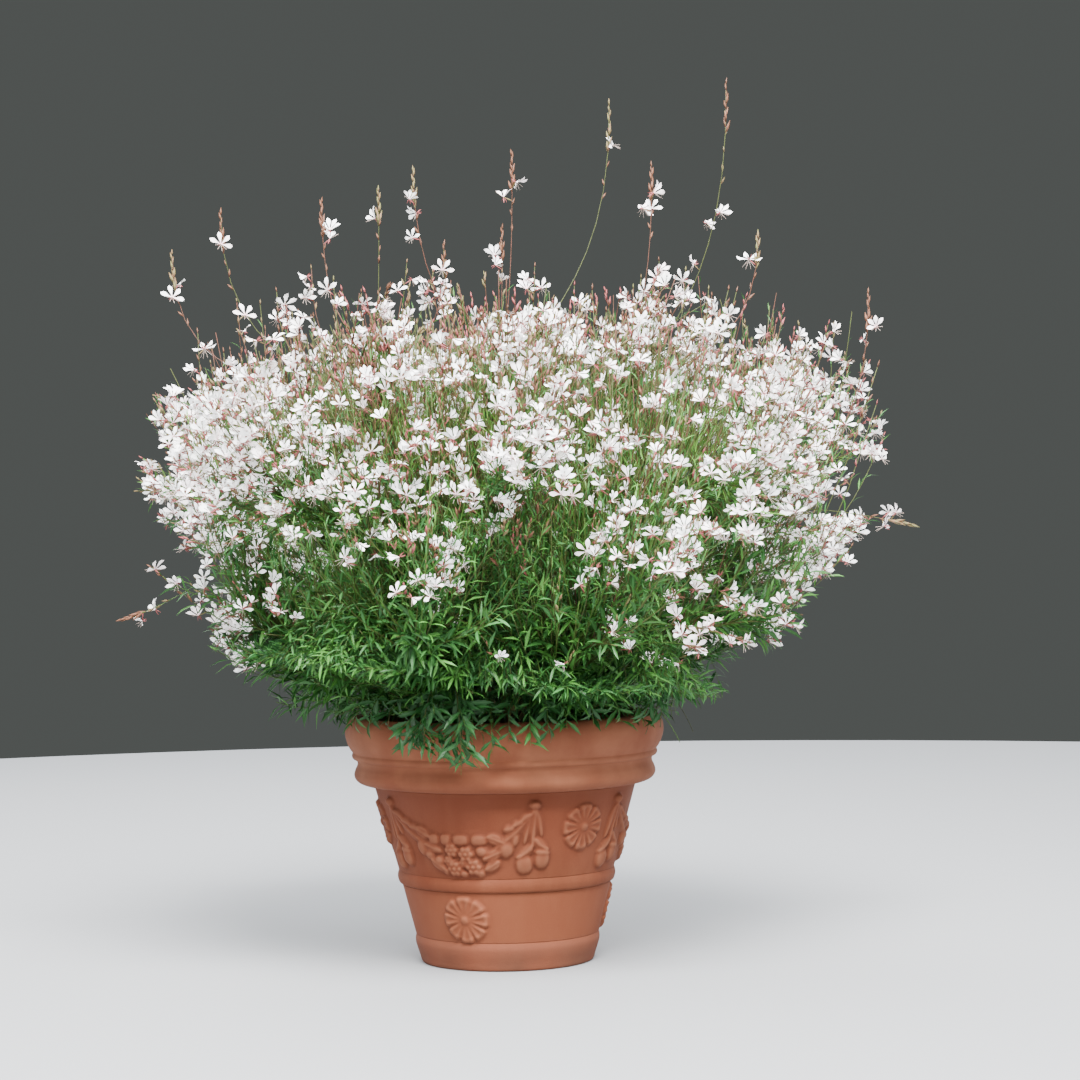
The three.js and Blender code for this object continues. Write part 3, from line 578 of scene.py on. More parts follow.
def relief_band(name, low, high, columns, rows, forms, middle):
    """Radius = wall + height of the relief, for columns round the axis and rows up the wall. The relief is
    hollow where it lies under its own broad average. A low and a high row inside the wall close the band
    to itself."""
    third = wall_radius(middle) * 2 * np.pi / 3
    per_third = columns // 3
    s = (np.arange(per_third) / per_third - 0.5) * third
    heights = np.linspace(low, high, rows)
    relief = smoothed(np.tile(forms(*np.meshgrid(s, heights), third), (1, 3)), FINE_ROUNDS)
    broad = smoothed(relief, BROAD_ROUNDS)
    relief = relief * np.clip(np.minimum(heights - low, high - heights), 0, 1)[:, None]
    radius = wall_radius(heights)[:, None] + relief
    radius = np.concatenate([radius[:1] - BAND_DEPTH, radius, radius[-1:] - BAND_DEPTH])
    level = np.concatenate([heights[:1], heights, heights[-1:]])[:, None]
    hollow = np.pad(np.clip((broad - relief) / 1.3, -1, 1), ((1, 1), (0, 0)), mode="edge")
    angle = math.radians(GARLAND_TURN) + (np.arange(columns) / per_third - 0.5) * 2 * np.pi / 3
    points = stacked(radius * np.sin(angle), -radius * np.cos(angle), level).reshape(-1, 3)
    faces = [ring_faces(rows + 2, columns, True)]
    places = heights_of(points, hollow.ravel())
    band = put_mesh(name, points, faces, [terracotta_material], places=places)
    stands_for(band, "terracotta", "pot")


relief_band("pot_upper_relief", 138.4, 264.6, 768, 98, upper_third, 190)
relief_band("pot_lower_relief", 42.4, 117.6, 540, 56, lower_third, 77)

# %% [markdown]
# ## Compost and the crown of the root
# Under the leaves lies dark, crumbly compost, and a woody crown from which every stem rises. Both
# are profiles carried round the axis and roughened by a few waves. Simulated crumbs would cost more
# and would hardly be seen below the leaves.


# %% Luck that is the same each run
def chance(first, second=0.0, third=0.0):
    """frac(sin(12.9898 a + 78.233 b + 37.719 c) 43758.5453): from 0 to 1, the same for the same keys. The
    last key is mostly a number that tells one kind of luck from another."""
    keys = np.asarray(first) * 12.9898 + np.asarray(second) * 78.233 + np.asarray(third) * 37.719
    wave = np.sin(keys) * 43758.5453
    return wave - np.floor(wave)


def spread(first, second=0.0, third=0.0):
    """The same, from -1 to 1."""
    return chance(first, second, third) * 2 - 1


def waves(x, y, seed, length):
    """The mean of six sine waves in different directions: smooth, random-looking and the same each run."""
    total = 0
    for number in range(6):
        turn = chance(seed, number) * 2 * np.pi
        wave = length * (0.6 + chance(seed, number, 1))
        phase = 6 * chance(seed, number, 2)
        total = total + np.sin((x * np.cos(turn) + y * np.sin(turn)) * 2 * np.pi / wave + phase)
    return total / 6


# %% Compost
def earthy(name, dark, light, scale):
    """Crumbs in a dark and a light tone, with a strong relief."""
    earth = Finish(name, 0.95, 0.1)
    crumbs = earth.noise(scale, 5, roughness=0.7)
    colour = earth.mix(crumbs.between(0.35, 0.7), dark, light)
    return earth.paint(colour, crumbs, 0.8, 0.004)


compost_material = earthy("compost_crumbs", tone(38, 28, 22), tone(92, 72, 56), 160)
crown_material = earthy("root_bark", tone(78, 58, 40), tone(132, 108, 80), 120)

COMPOST_TOP = 320
SOIL_SIDES = [(0, 30.5), (100, 32), (116.5, 34.6), (141, 136), (177.4, 262), (198.4, 300), (200.8, 319)]
soil_reaches = np.append(np.linspace(199, 4, 34), 0)
soil_points, soil_faces = turned(np.concatenate([SOIL_SIDES, stacked(soil_reaches, COMPOST_TOP)]), 120)
x, y, z = soil_points.T.copy()
lumps = waves(x, y, 3, 26) * 3 + waves(x, y, 4, 9) * 1.6 - 1.5
soil_points[:, 2] += np.where(z > COMPOST_TOP - 0.5, lumps, 0)
compost = put_mesh("compost_soil", soil_points, soil_faces, [compost_material])
stands_for(compost, "compost", "compost")

# %% The crown of the root
DOME_CENTRE = 318
DOME_RADIUS = 40
DOME_HEIGHT = 37
tilt = np.radians(np.linspace(-90, 90, 26))
rise = COMPOST_TOP + 0.4 + np.maximum(np.sin(tilt), 0) * DOME_HEIGHT
crown_profile = stacked(np.cos(tilt) * DOME_RADIUS, rise)
crown_profile[[0, -1], 0] = 0
crown_points, crown_faces = turned(crown_profile, 72)
around = np.arctan2(crown_points[:, 1], crown_points[:, 0])
knots = 1 + 0.05 * waves(around * 30, crown_points[:, 2], 8, 22) + 0.03 * np.sin(around * 9)
crown_points[:, :2] *= knots[:, None]
root_crown = put_mesh("root_crown_bark", crown_points, crown_faces, [crown_material])
stands_for(root_crown, "woody_stem", "root_crown")

# %% [markdown]
# ## How the plant grows
# Twenty-six shoots fan out from the crown in five rings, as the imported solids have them. Each is one
# curve: bare at first, and then the main stem of its own space in the mound. Twigs leave that stem by
# the golden angle, finer twigs leave those, and each is made shorter until it lies in the outline of the
# mound and off the pot. That rule alone leaves the rim and the low front bare and the top too even, so
# leafy twigs are added there, and wands and loose sprays stand where the photo has them. Those that it
# can't show, behind, are guesses.

# %% The rings of shoots
# turn, opening and the tilts are in degrees. seed, the middle of a shoot's space, and its tip are
# (distance from the axis, height) in millimetres. A shoot carries as many twigs as fine says, from the
# share low of its length on, each about as long as twig, and the last of them, tall in number, stand up.
# forks is the number of finer twigs on each, and lift the range in which twigs bend down or up. leaves
# are the numbers of leaves on a twig and on a finer one, and bloom the share of twigs that may flower.
RINGS = {
    "skirt": dict(
        count=8, turn=22.5, opening=(28, 56), foot_tilt=30, seed=(300, 455), tip=(410, 492), tip_tilt=-6,
        twig=215, fine=98, tall=32, forks=2, low=0.12, lift=(-0.35, 0.95), leaves=(14, 8), bloom=0.85),
    "side": dict(
        count=8, turn=0, opening=(24, 42), foot_tilt=50, seed=(365, 690), tip=(470, 735), tip_tilt=18,
        twig=260, fine=76, tall=0, forks=3, low=0.22, lift=(-0.35, 1.0), leaves=(12, 8), bloom=0.98),
    "upper": dict(
        count=6, turn=30, opening=(24, 42), foot_tilt=66, seed=(205, 880), tip=(285, 985), tip_tilt=58,
        twig=230, fine=72, tall=0, forks=2, low=0.3, lift=(-0.2, 0.7), leaves=(5, 3), bloom=0.8),
    "heart": dict(
        count=2, turn=0, opening=(24, 42), foot_tilt=76, seed=(110, 610), tip=(125, 730), tip_tilt=84,
        twig=230, fine=60, tall=0, forks=2, low=0.15, lift=(0.0, 0.7), leaves=(7, 4), bloom=0.3),
    "top": dict(
        count=2, turn=90, opening=(24, 42), foot_tilt=82, seed=(75, 930), tip=(85, 995), tip_tilt=84,
        twig=230, fine=60, tall=0, forks=2, low=0.3, lift=(-0.1, 0.6), leaves=(4, 2), bloom=0.8),
}
GOLDEN = 137.508
GOLDEN_STEP = 0.618
UP = np.array([0.0, 0.0, 1.0])


def members(kind, ring_name):
    """The frame's own names of the stems or of the masses in a ring."""
    return [f"{kind}_{ring_name}_{number + 1}" for number in range(RINGS[ring_name]["count"])]


# %% The outline of the mound, and what stands out of it
# The mound reaches this far from the axis at each height, and 0.92 of that to the front and the back. It
# leans to the right: that side reaches up to 6 % further above 600 mm, and up to 9 % less far below.
MOUND_HEIGHTS = [240, 300, 366, 420, 500, 600, 750, 850, 930, 985, 1015, 1030]
MOUND_REACH = [270, 280, 305, 375, 485, 560, 590, 585, 530, 450, 330, 0]
MOUND_DEPTH = 0.92
MOUND_MIDDLE = np.array([0, 0, 600.0])
MOUND_LEAN = 0.04
# The tips of 17 wands, which stand tall but for one low at each side, of 8 low sprays in front at the
# right, and of 23 loose sprays round the top.
LONG_WANDS = 17
WANDS = np.array([
    (350, 20, 1309), (177, 150, 1300), (26, -90, 1190), (229, -130, 1164), (-179, 60, 1160),
    (-116, -160, 1159), (-256, -70, 1127), (-421, 70, 1130), (-479, -60, 1056), (6, 230, 1120),
    (380, -150, 1060), (552, -40, 983), (-90, 330, 1105), (-559, -60, 520), (606, -70, 640),
    (250, 340, 1010), (-330, 330, 980), (250, -332, 546), (286, -322, 560), (327, -300, 538),
    (262, -330, 500), (303, -312, 494), (346, -282, 480), (282, -312, 470), (366, -270, 514),
    (-384, -60, 985), (-325, -60, 1000), (-273, -60, 1032), (-236, -120, 1008), (-201, -40, 998),
    (-286, -150, 960), (-445, -40, 942), (-400, -100, 908), (-94, -60, 1024), (-66, -120, 985),
    (57, -60, 1030), (241, -60, 1036), (282, -20, 1024), (200, -120, 990), (312, -80, 990),
    (403, -60, 915), (450, -20, 940), (-300, 250, 985), (-120, 300, 1000), (120, 280, 1010),
    (330, 230, 960), (-420, 160, 930), (440, 180, 920)], float)
# How far along its wand a flower opens, and a second one, or 0 where there is none.
WAND_FLOWER = np.array([0.76] + [0.93] * 24 + [0.95, 0.94, 0.96] * 7 + [0.95] * 2)
WAND_SECOND = np.array(
    [0.62, 0, 0, 0.9, 0, 0.84, 0, 0, 0, 0.86, 0, 0, 0.85, 0.87, 0.9, 0.8, 0.85] + [0.86] * 8 + [0.9] * 23)
# The tips of the six leafy sprigs that hang over the rim.
SPRIGS = np.array([
    (-56, -278, 312), (-108, -266, 338), (226, -180, 355), (-256, 110, 360), (88, 272, 350),
    (256, 94, 368)], float)
print("wands and loose sprays:", len(WANDS), "sprigs:", len(SPRIGS))


# %% Curves
def unit(vectors):
    """Every vector divided by its own length."""
    return vectors / np.maximum(np.linalg.norm(vectors, axis=-1, keepdims=True), 1e-9)


def on_ray(azimuth, reach, height):
    """(reach cos a, reach sin a, height)"""
    azimuth = np.radians(azimuth)
    return stacked(np.cos(azimuth) * reach, np.sin(azimuth) * reach, height)


def along(curves, t):
    """De Casteljau's rule: between neighbouring control points take (1 - t) a + t b, again and again,
    until one point is left. curves are (n, points, 3) and t is (n, k)."""
    points, t = curves[:, None], t[:, :, None, None]
    while points.shape[2] > 1:
        points = points[:, :, :-1] * (1 - t) + points[:, :, 1:] * t
    return points[:, :, 0]


def heading(curves, t):
    """The way of the curve at t, from two points close to it."""
    return unit(along(curves, np.minimum(t + 0.01, 1)) - along(curves, np.maximum(t - 0.01, 0)))


def sampled(curves, steps):
    """The points of every curve at the same steps."""
    return along(curves, np.tile(steps, (len(curves), 1)))


def spot_on(curves, t):
    """One point of each curve, at its own t, and the way of the curve there."""
    t = np.broadcast_to(t, len(curves))[:, None]
    return along(curves, t)[:, 0], heading(curves, t)[:, 0]


# %% The shoots
def make_shoots():
    """Each shoot is a cubic curve: foot on the crown, 0.45 of its span along the normal there, 0.33 of it
    back from the tip, and the tip."""
    curves, seeds, rings = [], [], []
    for ring_name, ring in RINGS.items():
        for number in range(ring["count"]):
            key = len(curves) + 1
            azimuth = ring["turn"] + number * 360 / ring["count"] + 5 * spread(key, 1)
            size = 1 + 0.05 * spread(key, 2) + MOUND_LEAN * math.cos(math.radians(azimuth))
            lean = math.radians(ring["foot_tilt"])
            normal = on_ray(azimuth, math.cos(lean), math.sin(lean))
            foot = UP * DOME_CENTRE + normal * (DOME_RADIUS + 0.3)
            tip = on_ray(azimuth, ring["tip"][0] * size, ring["tip"][1] * (1 + 0.03 * spread(key, 3)))
            lean = math.radians(ring["tip_tilt"])
            tip_way = on_ray(azimuth, math.cos(lean), math.sin(lean))
            span = np.linalg.norm(tip - foot)
            curves.append([foot, foot + normal * span * 0.45, tip - tip_way * span * 0.33, tip])
            seeds.append(on_ray(azimuth, ring["seed"][0] * size, ring["seed"][1]))
            rings.append(ring_name)
    return np.array(curves), np.array(seeds), np.array(rings)


shoot_curves, seeds, shoot_rings = make_shoots()
SHOOTS = len(seeds)
ring_shoots = {name: np.flatnonzero(shoot_rings == name) for name in RINGS}
print("shoots:", SHOOTS, {name: len(shoots) for name, shoots in ring_shoots.items()})


# %% A shoot's own space, the mound and the pot
def in_space(points, owner):
    """True where a point is nearer to its owner's seed than to any other, by the halfway planes."""
    apart = seeds[None] - seeds[owner][:, None]
    span = np.linalg.norm(apart, axis=-1)
    way = apart / np.maximum(span, 1e-9)[..., None]
    limit = ((seeds[None] + seeds[owner][:, None]) / 2 * way).sum(-1) - 0.8
    return ((points[:, None] * way).sum(-1) <= limit + (span < 1e-6) * 1e9).all(1)


def in_mound(points, slack):
    """True inside the outline, drawn larger or smaller by the slack from the middle of the mound."""
    spread_out = np.broadcast_to(slack, points.shape[:-1])[..., None]
    points = MOUND_MIDDLE + (points - MOUND_MIDDLE) / spread_out
    reach = np.hypot(points[..., 0], points[..., 1] / MOUND_DEPTH)
    level = np.clip((points[..., 2] - 600) / 120, -2.2, 1.4)
    lean = 1 + MOUND_LEAN * level * points[..., 0] / (reach + 1)
    limit = np.interp(points[..., 2], MOUND_HEIGHTS, MOUND_REACH, left=-1, right=-1)
    return reach <= limit * lean


def off_pot(points, margin=4.0):
    """True outside the pot: above the rim, beyond it, or inside the mouth over the compost."""
    reach = np.hypot(points[..., 0], points[..., 1])
    mouth = (reach < 196) & (points[..., 2] > COMPOST_TOP + 8)
    return (points[..., 2] > POT_HEIGHT + margin) | (reach > RIM_RADIUS + margin) | mouth


# %% Where the bare stems end
def find_entries():
    """Where each bare stem ends: the first place, in steps of 0.01 from 0.3, that lies 0.03 past the side
    of its space."""
    steps = 0.3 + 0.01 * np.arange(51)
    entries = np.full(SHOOTS, 0.8)
    for number in range(SHOOTS):
        spots = along(shoot_curves[number:number + 1], steps[None] - 0.03)[0]
        inside = in_space(spots, np.full(len(spots), number))
        if inside.any():
            entries[number] = steps[np.argmax(inside)]
    return entries


entries = find_entries()
print("bare parts of the first stems:", np.round(entries[:6], 2))


# %% [markdown]
# ## Stems and bark
# A stem is a ring of corners carried along a curve and held square to it. The lower stems are half
# woody, so their rings swell at the joints and carry low ridges, and the finish adds the bark's streaks.


# %% A tube along many curves at once
def tubes(paths, radii, sides):
    """n paths of k points: corner = point + r (cos a across + sin a beside), where across stays square to
    the tangent and turned towards one fixed way for each path. Both ends are closed."""
    count, steps = paths.shape[:2]
    tangents = unit(np.gradient(paths, axis=1))
    chord = unit(paths[:, -1] - paths[:, 0])
    fixed = unit(np.cross(chord, np.where(np.abs(chord[:, 2:]) > 0.8, [[1.0, 0, 0]], [[0, 0, 1.0]])))
    across = unit(fixed[:, None] - tangents * (tangents * fixed[:, None]).sum(-1, keepdims=True))
    beside = np.cross(tangents, across)
    angle = np.arange(sides) * 2 * np.pi / sides
    radii = radii[..., None] if radii.ndim == 3 else radii[..., None, None]
    corners = paths[:, :, None] + radii * (
        across[:, :, None] * np.cos(angle)[:, None] + beside[:, :, None] * np.sin(angle)[:, None])
    start = (np.arange(count) * steps * sides)[:, None, None]
    walls = (ring_faces(steps, sides)[None] + start).reshape(-1, 4)
    ring = np.arange(sides)[None] + start[:, 0]
    faces = [walls, ring[:, ::-1], ring + (steps - 1) * sides]
    owners = [np.repeat(np.arange(count), (steps - 1) * sides), np.arange(count), np.arange(count)]
    return corners.reshape(-1, 3), faces, owners


def stalk_finish(name, colour, shade):
    """A colour and a darker or duller one in fine streaks, stretched along the height."""
    stalk = Finish(name, 0.55, 0.22)
    fibre = stalk.noise(300, 3, (1, 1, 0.25))
    return stalk.paint(stalk.mix(fibre.between(0.35, 0.7), colour, shade), fibre, 0.3, 0.0006)


# %% The bare stems
BARK_STEPS = 26
BARK_SIDES = 10
STEM_RADIUS = 4
STEM_TAPER = 1.4
bark_material = stalk_finish("stem_bark", tone(122, 118, 70), tone(92, 78, 52))


def bark_radii(shoots):
    """(4 - 1.4 t) (1 + joint + ridge): a joint in every six steps, and ridges that run round and along."""
    place = np.arange(BARK_STEPS)[None, :, None]
    side = np.arange(BARK_SIDES)[None, None, :]
    joint = 0.16 * np.exp(-((place % 6) - 3.0) ** 2)
    ridge = 0.05 * np.sin(side * 2.1 + place * 0.7) + 0.05 * spread(side, place, shoots[:, None, None])
    return (STEM_RADIUS - STEM_TAPER * place / (BARK_STEPS - 1)) * (1 + joint + ridge)


for ring_name, shoots in ring_shoots.items():
    t = np.linspace(0, 1, BARK_STEPS)[None] * entries[shoots][:, None]
    paths = along(shoot_curves[shoots], t)
    paths[:, 0] -= unit(paths[:, 1] - paths[:, 0]) * 3
    points, faces, _ = tubes(paths, bark_radii(shoots), BARK_SIDES)
    limbs = put_mesh(f"limbs_{ring_name}", points, faces, [bark_material])
    stands_for(limbs, "stem", *members("stem", ring_name))


# %% [markdown]
# ## Twigs
# Every twig leaves its stem at an angle and bends up to the light. The same rule is used
# twice: once from the shoot's stem, and once more from those twigs, finer and shorter. In the photo
# the plant is fullest of fine, nearly upright stems, so the twigs high in the mound stand steeper.


# %% The rule for a twig
SHORTER = 0.78


def leaning(axis, turn, angle):
    """Turned from the axis by the angle: axis cos(angle) + side sin(angle), where side goes round it."""
    steep = np.abs(axis[..., 2:]) > 0.9
    across = unit(np.cross(np.where(steep, [1.0, 0, 0], [0, 0, 1.0]), axis))
    beside = np.cross(axis, across)
    side = across * np.cos(turn)[..., None] + beside * np.sin(turn)[..., None]
    return axis * np.cos(angle)[..., None] + side * np.sin(angle)[..., None]


def grow(base, axis, key, number, angle, length, lift):
    """A twig from each base: two halves of its length, the second raised by the lift. It is made 0.78 times
    as long until three points of it are in the outline of the mound and off the pot. The outline is
    ragged, and at the top it is lowered by luck and in groups."""
    turn = np.radians(number * GOLDEN + 360 * chance(key, 5))
    way = leaning(axis, turn, np.radians(angle + 12 * spread(key, number, 7)))
    outer = np.clip((np.hypot(base[:, 0], base[:, 1]) - 260) / 180, 0, 1)
    pull = np.interp(base[:, 2], [380, 620], [0.0, 0.5]) * (1 - 0.8 * outer)
    way = unit(way + UP * pull[:, None])
    length = length * (0.9 + 0.25 * chance(key, number, 8))
    luck = chance(key, number, 10)
    high = np.clip((base[:, 2] - 680) / 150, 0, 1)
    groups = np.clip(2.2 * waves(base[:, 0], base[:, 1], 15, 210), -1, 1)
    crown = np.clip(1.2 - np.abs(base[:, 0] + 20) / 240, 0, 1)
    lowered = 0.08 + 0.05 * crown + 0.1 * luck - 0.22 * luck ** 6 - 0.06 * groups
    ragged = (0.8 + 0.2 * luck - high * lowered)[:, None]
    for _ in range(6):
        bend = base + way * length[:, None] / 2
        tip = bend + (way / 2 + UP * lift[:, None]) * length[:, None]
        curves = np.stack([base, bend, tip], 1)
        spots = sampled(curves, [0.5, 0.8, 1.0])
        fits = (in_mound(spots, ragged) & off_pot(spots)).all(1) & (tip[:, 2] > POT_HEIGHT + 3)
        length = np.where(fits, length, length * SHORTER)
    return curves, fits


def kept(fits, **twigs):
    """Only the twigs that fit: their curves, the shoots they belong to and their numbers."""
    return {name: values[fits] for name, values in twigs.items()}


# %% Twigs of both orders
def grow_ring(ring_name, ring):
    """The twigs of a ring of shoots, and the finer ones that fork from them."""
    owner = np.repeat(ring_shoots[ring_name], ring["fine"])
    number = np.tile(np.arange(ring["fine"], dtype=float), ring["count"])
    base, axis = spot_on(shoot_curves[owner], ring["low"] + (0.99 - ring["low"]) * (number * GOLDEN_STEP % 1))
    least, most = ring["lift"]
    lift = least + (most - least) * chance(owner, number, 9) + (number >= ring["fine"] - ring["tall"])
    angle = ring["opening"][0] + ring["opening"][1] * chance(owner, number, 3)
    length = ring["twig"] * (0.75 + 0.6 * chance(owner, number, 4))
    curves, fits = grow(base, axis, owner + 1, number, angle, length, lift)
    first = kept(fits, curves=curves, owner=owner, number=number)

    forks = ring["forks"]
    parent = np.repeat(np.arange(len(first["owner"])), forks)
    fork = np.tile(np.arange(forks, dtype=float), len(first["owner"]))
    t = 0.22 + 0.5 * (fork + 0.5) / forks + 0.12 * chance(parent, fork, 2)
    base, axis = spot_on(first["curves"][parent], t)
    number = first["number"][parent] * forks + fork + 100
    length = ring["twig"] * (0.35 + 0.35 * chance(parent, fork))
    curves, fits = grow(base, axis, parent, number, 30, length, np.full(len(parent), 0.45))
    return first, kept(fits, curves=curves, owner=first["owner"][parent], number=number)


growth = {ring_name: grow_ring(ring_name, ring) for ring_name, ring in RINGS.items()}
for ring_name, (first, second) in growth.items():
    print(ring_name, "twigs:", len(first["owner"]), "and finer ones:", len(second["owner"]))


# %% [markdown]
# ## Wands, loose sprays and sprigs
# A few long stems stand high above the mound, loose sprays make its top uneven, and leafy sprigs hang
# over the pot. A rule could scatter them too, but the eye knows this plant by them, so each has a tip of
# its own and a curve leads to it from the nearest shoot.


# %% Wands, loose sprays and sprigs
SIDE_TWIGS = 4


def owner_of(points):
    """The shoot whose seed is nearest."""
    return np.argmin(np.linalg.norm(points[:, None] - seeds[None], axis=-1), axis=1)


def past_entry(owner, share):
    """A point of each shoot, that share of the way from where it enters its space to its tip."""
    return spot_on(shoot_curves[owner], entries[owner] + (1 - entries[owner]) * share)


def wand_curves(owner):
    """From the shoot's stem, on along it, and up to the wand's own tip. The low ones bend over instead."""
    root, tangent = past_entry(owner, 0.12)
    span = np.linalg.norm(WANDS - root, axis=1)[:, None]
    bent_over = stacked(-0.0008 * WANDS[:, 0], 0, 0.12)
    rise = np.where(WANDS[:, 2:] > 700, [[0, 0, -0.6]], bent_over)
    return np.stack([root, root + tangent * span * 0.3, WANDS + rise * span, WANDS], 1)


def sprig_curves():
    """From low on a shoot's stem, over the rim and down to the sprig's own tip."""
    root, _ = past_entry(owner_of(SPRIGS), 0.2)
    azimuth = np.degrees(np.arctan2(SPRIGS[:, 1], SPRIGS[:, 0]))
    over = on_ray(azimuth, np.hypot(SPRIGS[:, 0], SPRIGS[:, 1]) + 12, 425)
    return np.stack([root, over, SPRIGS], 1)


def sprig_sides():
    """Short side twigs on each sprig, turned by the golden angle, which droop with it."""
    parent = np.repeat(np.arange(len(SPRIGS)), SIDE_TWIGS)
    number = np.tile(np.arange(SIDE_TWIGS, dtype=float), len(SPRIGS))
    base, axis = spot_on(sprigs[parent], 0.42 + 0.14 * number)
    turn = np.radians(number * GOLDEN + 90 * chance(parent, 3))
    way = leaning(axis, turn, np.full(len(parent), math.radians(42)))
    length = (36 + 26 * chance(parent, number))[:, None]
    return np.stack([base, base + way * length * 0.6, base + (way * 0.95 - UP * 0.25) * length], 1)


wand_owner = owner_of(WANDS)
wands = wand_curves(wand_owner)
sprigs = sprig_curves()
side_sprigs = sprig_sides()
print("side twigs on the sprigs:", len(side_sprigs))


# %% [markdown]
# ## The leafy foot of the mound
# Round the rim the plant is leafy and dense, and hardly any stem or compost shows. The rule for twigs
# leaves that part thin, because it shortens what would cross the pot. So more twigs are laid there from
# where they have to end, back to the shoots that they belong to.


# %% Leafy twigs over the rim
RIM_TWIGS = 170
# Where twigs droop over the rim in front, as (across, height) of their tips.
OVERHANG = np.array([
    (-132, 340), (-112, 332), (-90, 320), (-74, 304), (-58, 298), (-42, 306), (-14, 328), (10, 344),
    (40, 338), (66, 354), (92, 360), (203, 356), (-213, 362),
    (-190, 366), (-163, 363), (130, 364), (168, 366)], float)
OVERHANG_REACH = 264


def skirt_shoot(azimuth):
    """The shoot of the skirt that grows nearest to that way."""
    skirt = RINGS["skirt"]
    return np.round((azimuth - skirt["turn"]) / 360 * skirt["count"]).astype(int) % skirt["count"]


def make_rim_twigs():
    """Leafy twigs from low on the skirt's shoots, by the golden angle all round, to just over the rim."""
    number = np.arange(RIM_TWIGS, dtype=float)
    azimuth = number * GOLDEN % 360
    base, _ = spot_on(shoot_curves[skirt_shoot(azimuth)], 0.15 + 0.25 * chance(number, 71))
    bend = on_ray(azimuth, 130 + 40 * chance(number, 72), 385 + 45 * chance(number, 73))
    reach = 200 + 60 * chance(number, 74)
    droop = np.where(reach > RIM_RADIUS + 6, 30 * chance(number, 76), 0)
    tip = on_ray(azimuth + 8 * spread(number, 75), reach, 380 + 45 * chance(number, 77) - droop)
    curves = np.stack([base, bend, tip], 1)
    return curves[off_pot(sampled(curves, [0.4, 0.7, 0.9, 1.0]), 2).all(1)]


def make_overhang():
    """Leafy twigs that cross the rim at the front and droop in front of it."""
    number = np.arange(len(OVERHANG), dtype=float)
    across, height = OVERHANG.T
    deep = -np.sqrt(OVERHANG_REACH ** 2 - across ** 2)
    azimuth = np.degrees(np.arctan2(deep, across))
    base, _ = spot_on(shoot_curves[skirt_shoot(azimuth)], 0.25 + 0.2 * chance(number, 81))
    over = on_ray(azimuth, 205, 415 + 14 * chance(number, 82))
    past = on_ray(azimuth, 268, 398 + 12 * chance(number, 83))
    return np.stack([base, over, past, stacked(across, deep, height)], 1)


rim_twigs = make_rim_twigs()
overhang = make_overhang()
print("rim twigs:", len(rim_twigs), "and over the front of the rim:", len(overhang))


# %% Leafy twigs low in the mound
OUTER_SHOOTS = RINGS["skirt"]["count"] + RINGS["side"]["count"]
LOW_TWIGS = 26
FILL_TWIGS = 790
LOW_FILL_TWIGS = 640
FILL_HEIGHTS = [385, 440, 500, 560, 655]
FILL_SHARES = [0.98, 0.9, 0.78, 0.82, 0.86]


def grow_low():
    """Short leafy twigs low on the outer shoots, which fill the mouth of the pot and lean over the rim."""
    owner = np.repeat(np.arange(OUTER_SHOOTS), LOW_TWIGS)
    number = np.tile(np.arange(LOW_TWIGS), OUTER_SHOOTS) + 400.0
    base, axis = spot_on(shoot_curves[owner], 0.05 + 0.45 * (number * GOLDEN_STEP % 1))
    angle = 48 + 30 * chance(owner, number, 3)
    length = 150 + 110 * chance(owner, number, 4)
    lift = -0.1 + 0.4 * chance(owner, number, 9)
    curves, fits = grow(base, axis, owner + 1, number, angle, length, lift)
    return kept(fits, curves=curves, owner=owner, number=number)


def make_fill():
    """Leafy twigs from the outer shoots to just inside the outline low in the mound. Their tips go round by
    the golden angle, and up from 385 to 655 mm by 0.618 of that span each time. The last of them end
    between 630 and 715 mm, under the blossom in front and behind."""
    number = np.arange(FILL_TWIGS, dtype=float)
    azimuth = number * GOLDEN % 360
    up = number * GOLDEN_STEP % 1
    height = np.where(number < LOW_FILL_TWIGS, 385 + 270 * up ** 1.25, 630 + 85 * up)
    owner = np.round(azimuth * OUTER_SHOOTS / 360).astype(int) % OUTER_SHOOTS
    owner = np.where(owner % 2 == 1, owner // 2, owner // 2 + RINGS["skirt"]["count"])
    facing = np.clip(1.3 - 2 * np.abs(np.cos(np.radians(azimuth))), 0, 1)
    share = np.interp(height, FILL_HEIGHTS, FILL_SHARES) + 0.12 * chance(number, 91)
    share = share - 0.13 * facing * np.interp(height, [395, 440, 490, 540], [0, 1, 1, 0])
    reach = np.interp(height, MOUND_HEIGHTS, MOUND_REACH) * share
    tip = on_ray(azimuth + 6 * spread(number, 92), reach, height) * [1, MOUND_DEPTH, 1]
    base, _ = spot_on(shoot_curves[owner], 0.22 + 0.24 * chance(number, 93))
    bend = base + (tip - base) * [0.8, 0.8, 0.35] + UP * (24 * chance(number, 94) - 6)[:, None]
    curves = np.stack([base, bend, tip], 1)
    spots = sampled(curves, [0.25, 0.5, 0.75, 1.0])
    fits = (off_pot(spots, 2) & in_mound(spots, 1.03)).all(1)
    fits &= (number < LOW_FILL_TWIGS) | (np.abs(tip[:, 0]) < 300)
    return kept(fits, curves=curves, owner=owner, number=number + 1000)


low_twigs = grow_low()
fill = make_fill()
print("low twigs:", len(low_twigs["owner"]), "fill:", len(fill["owner"]))
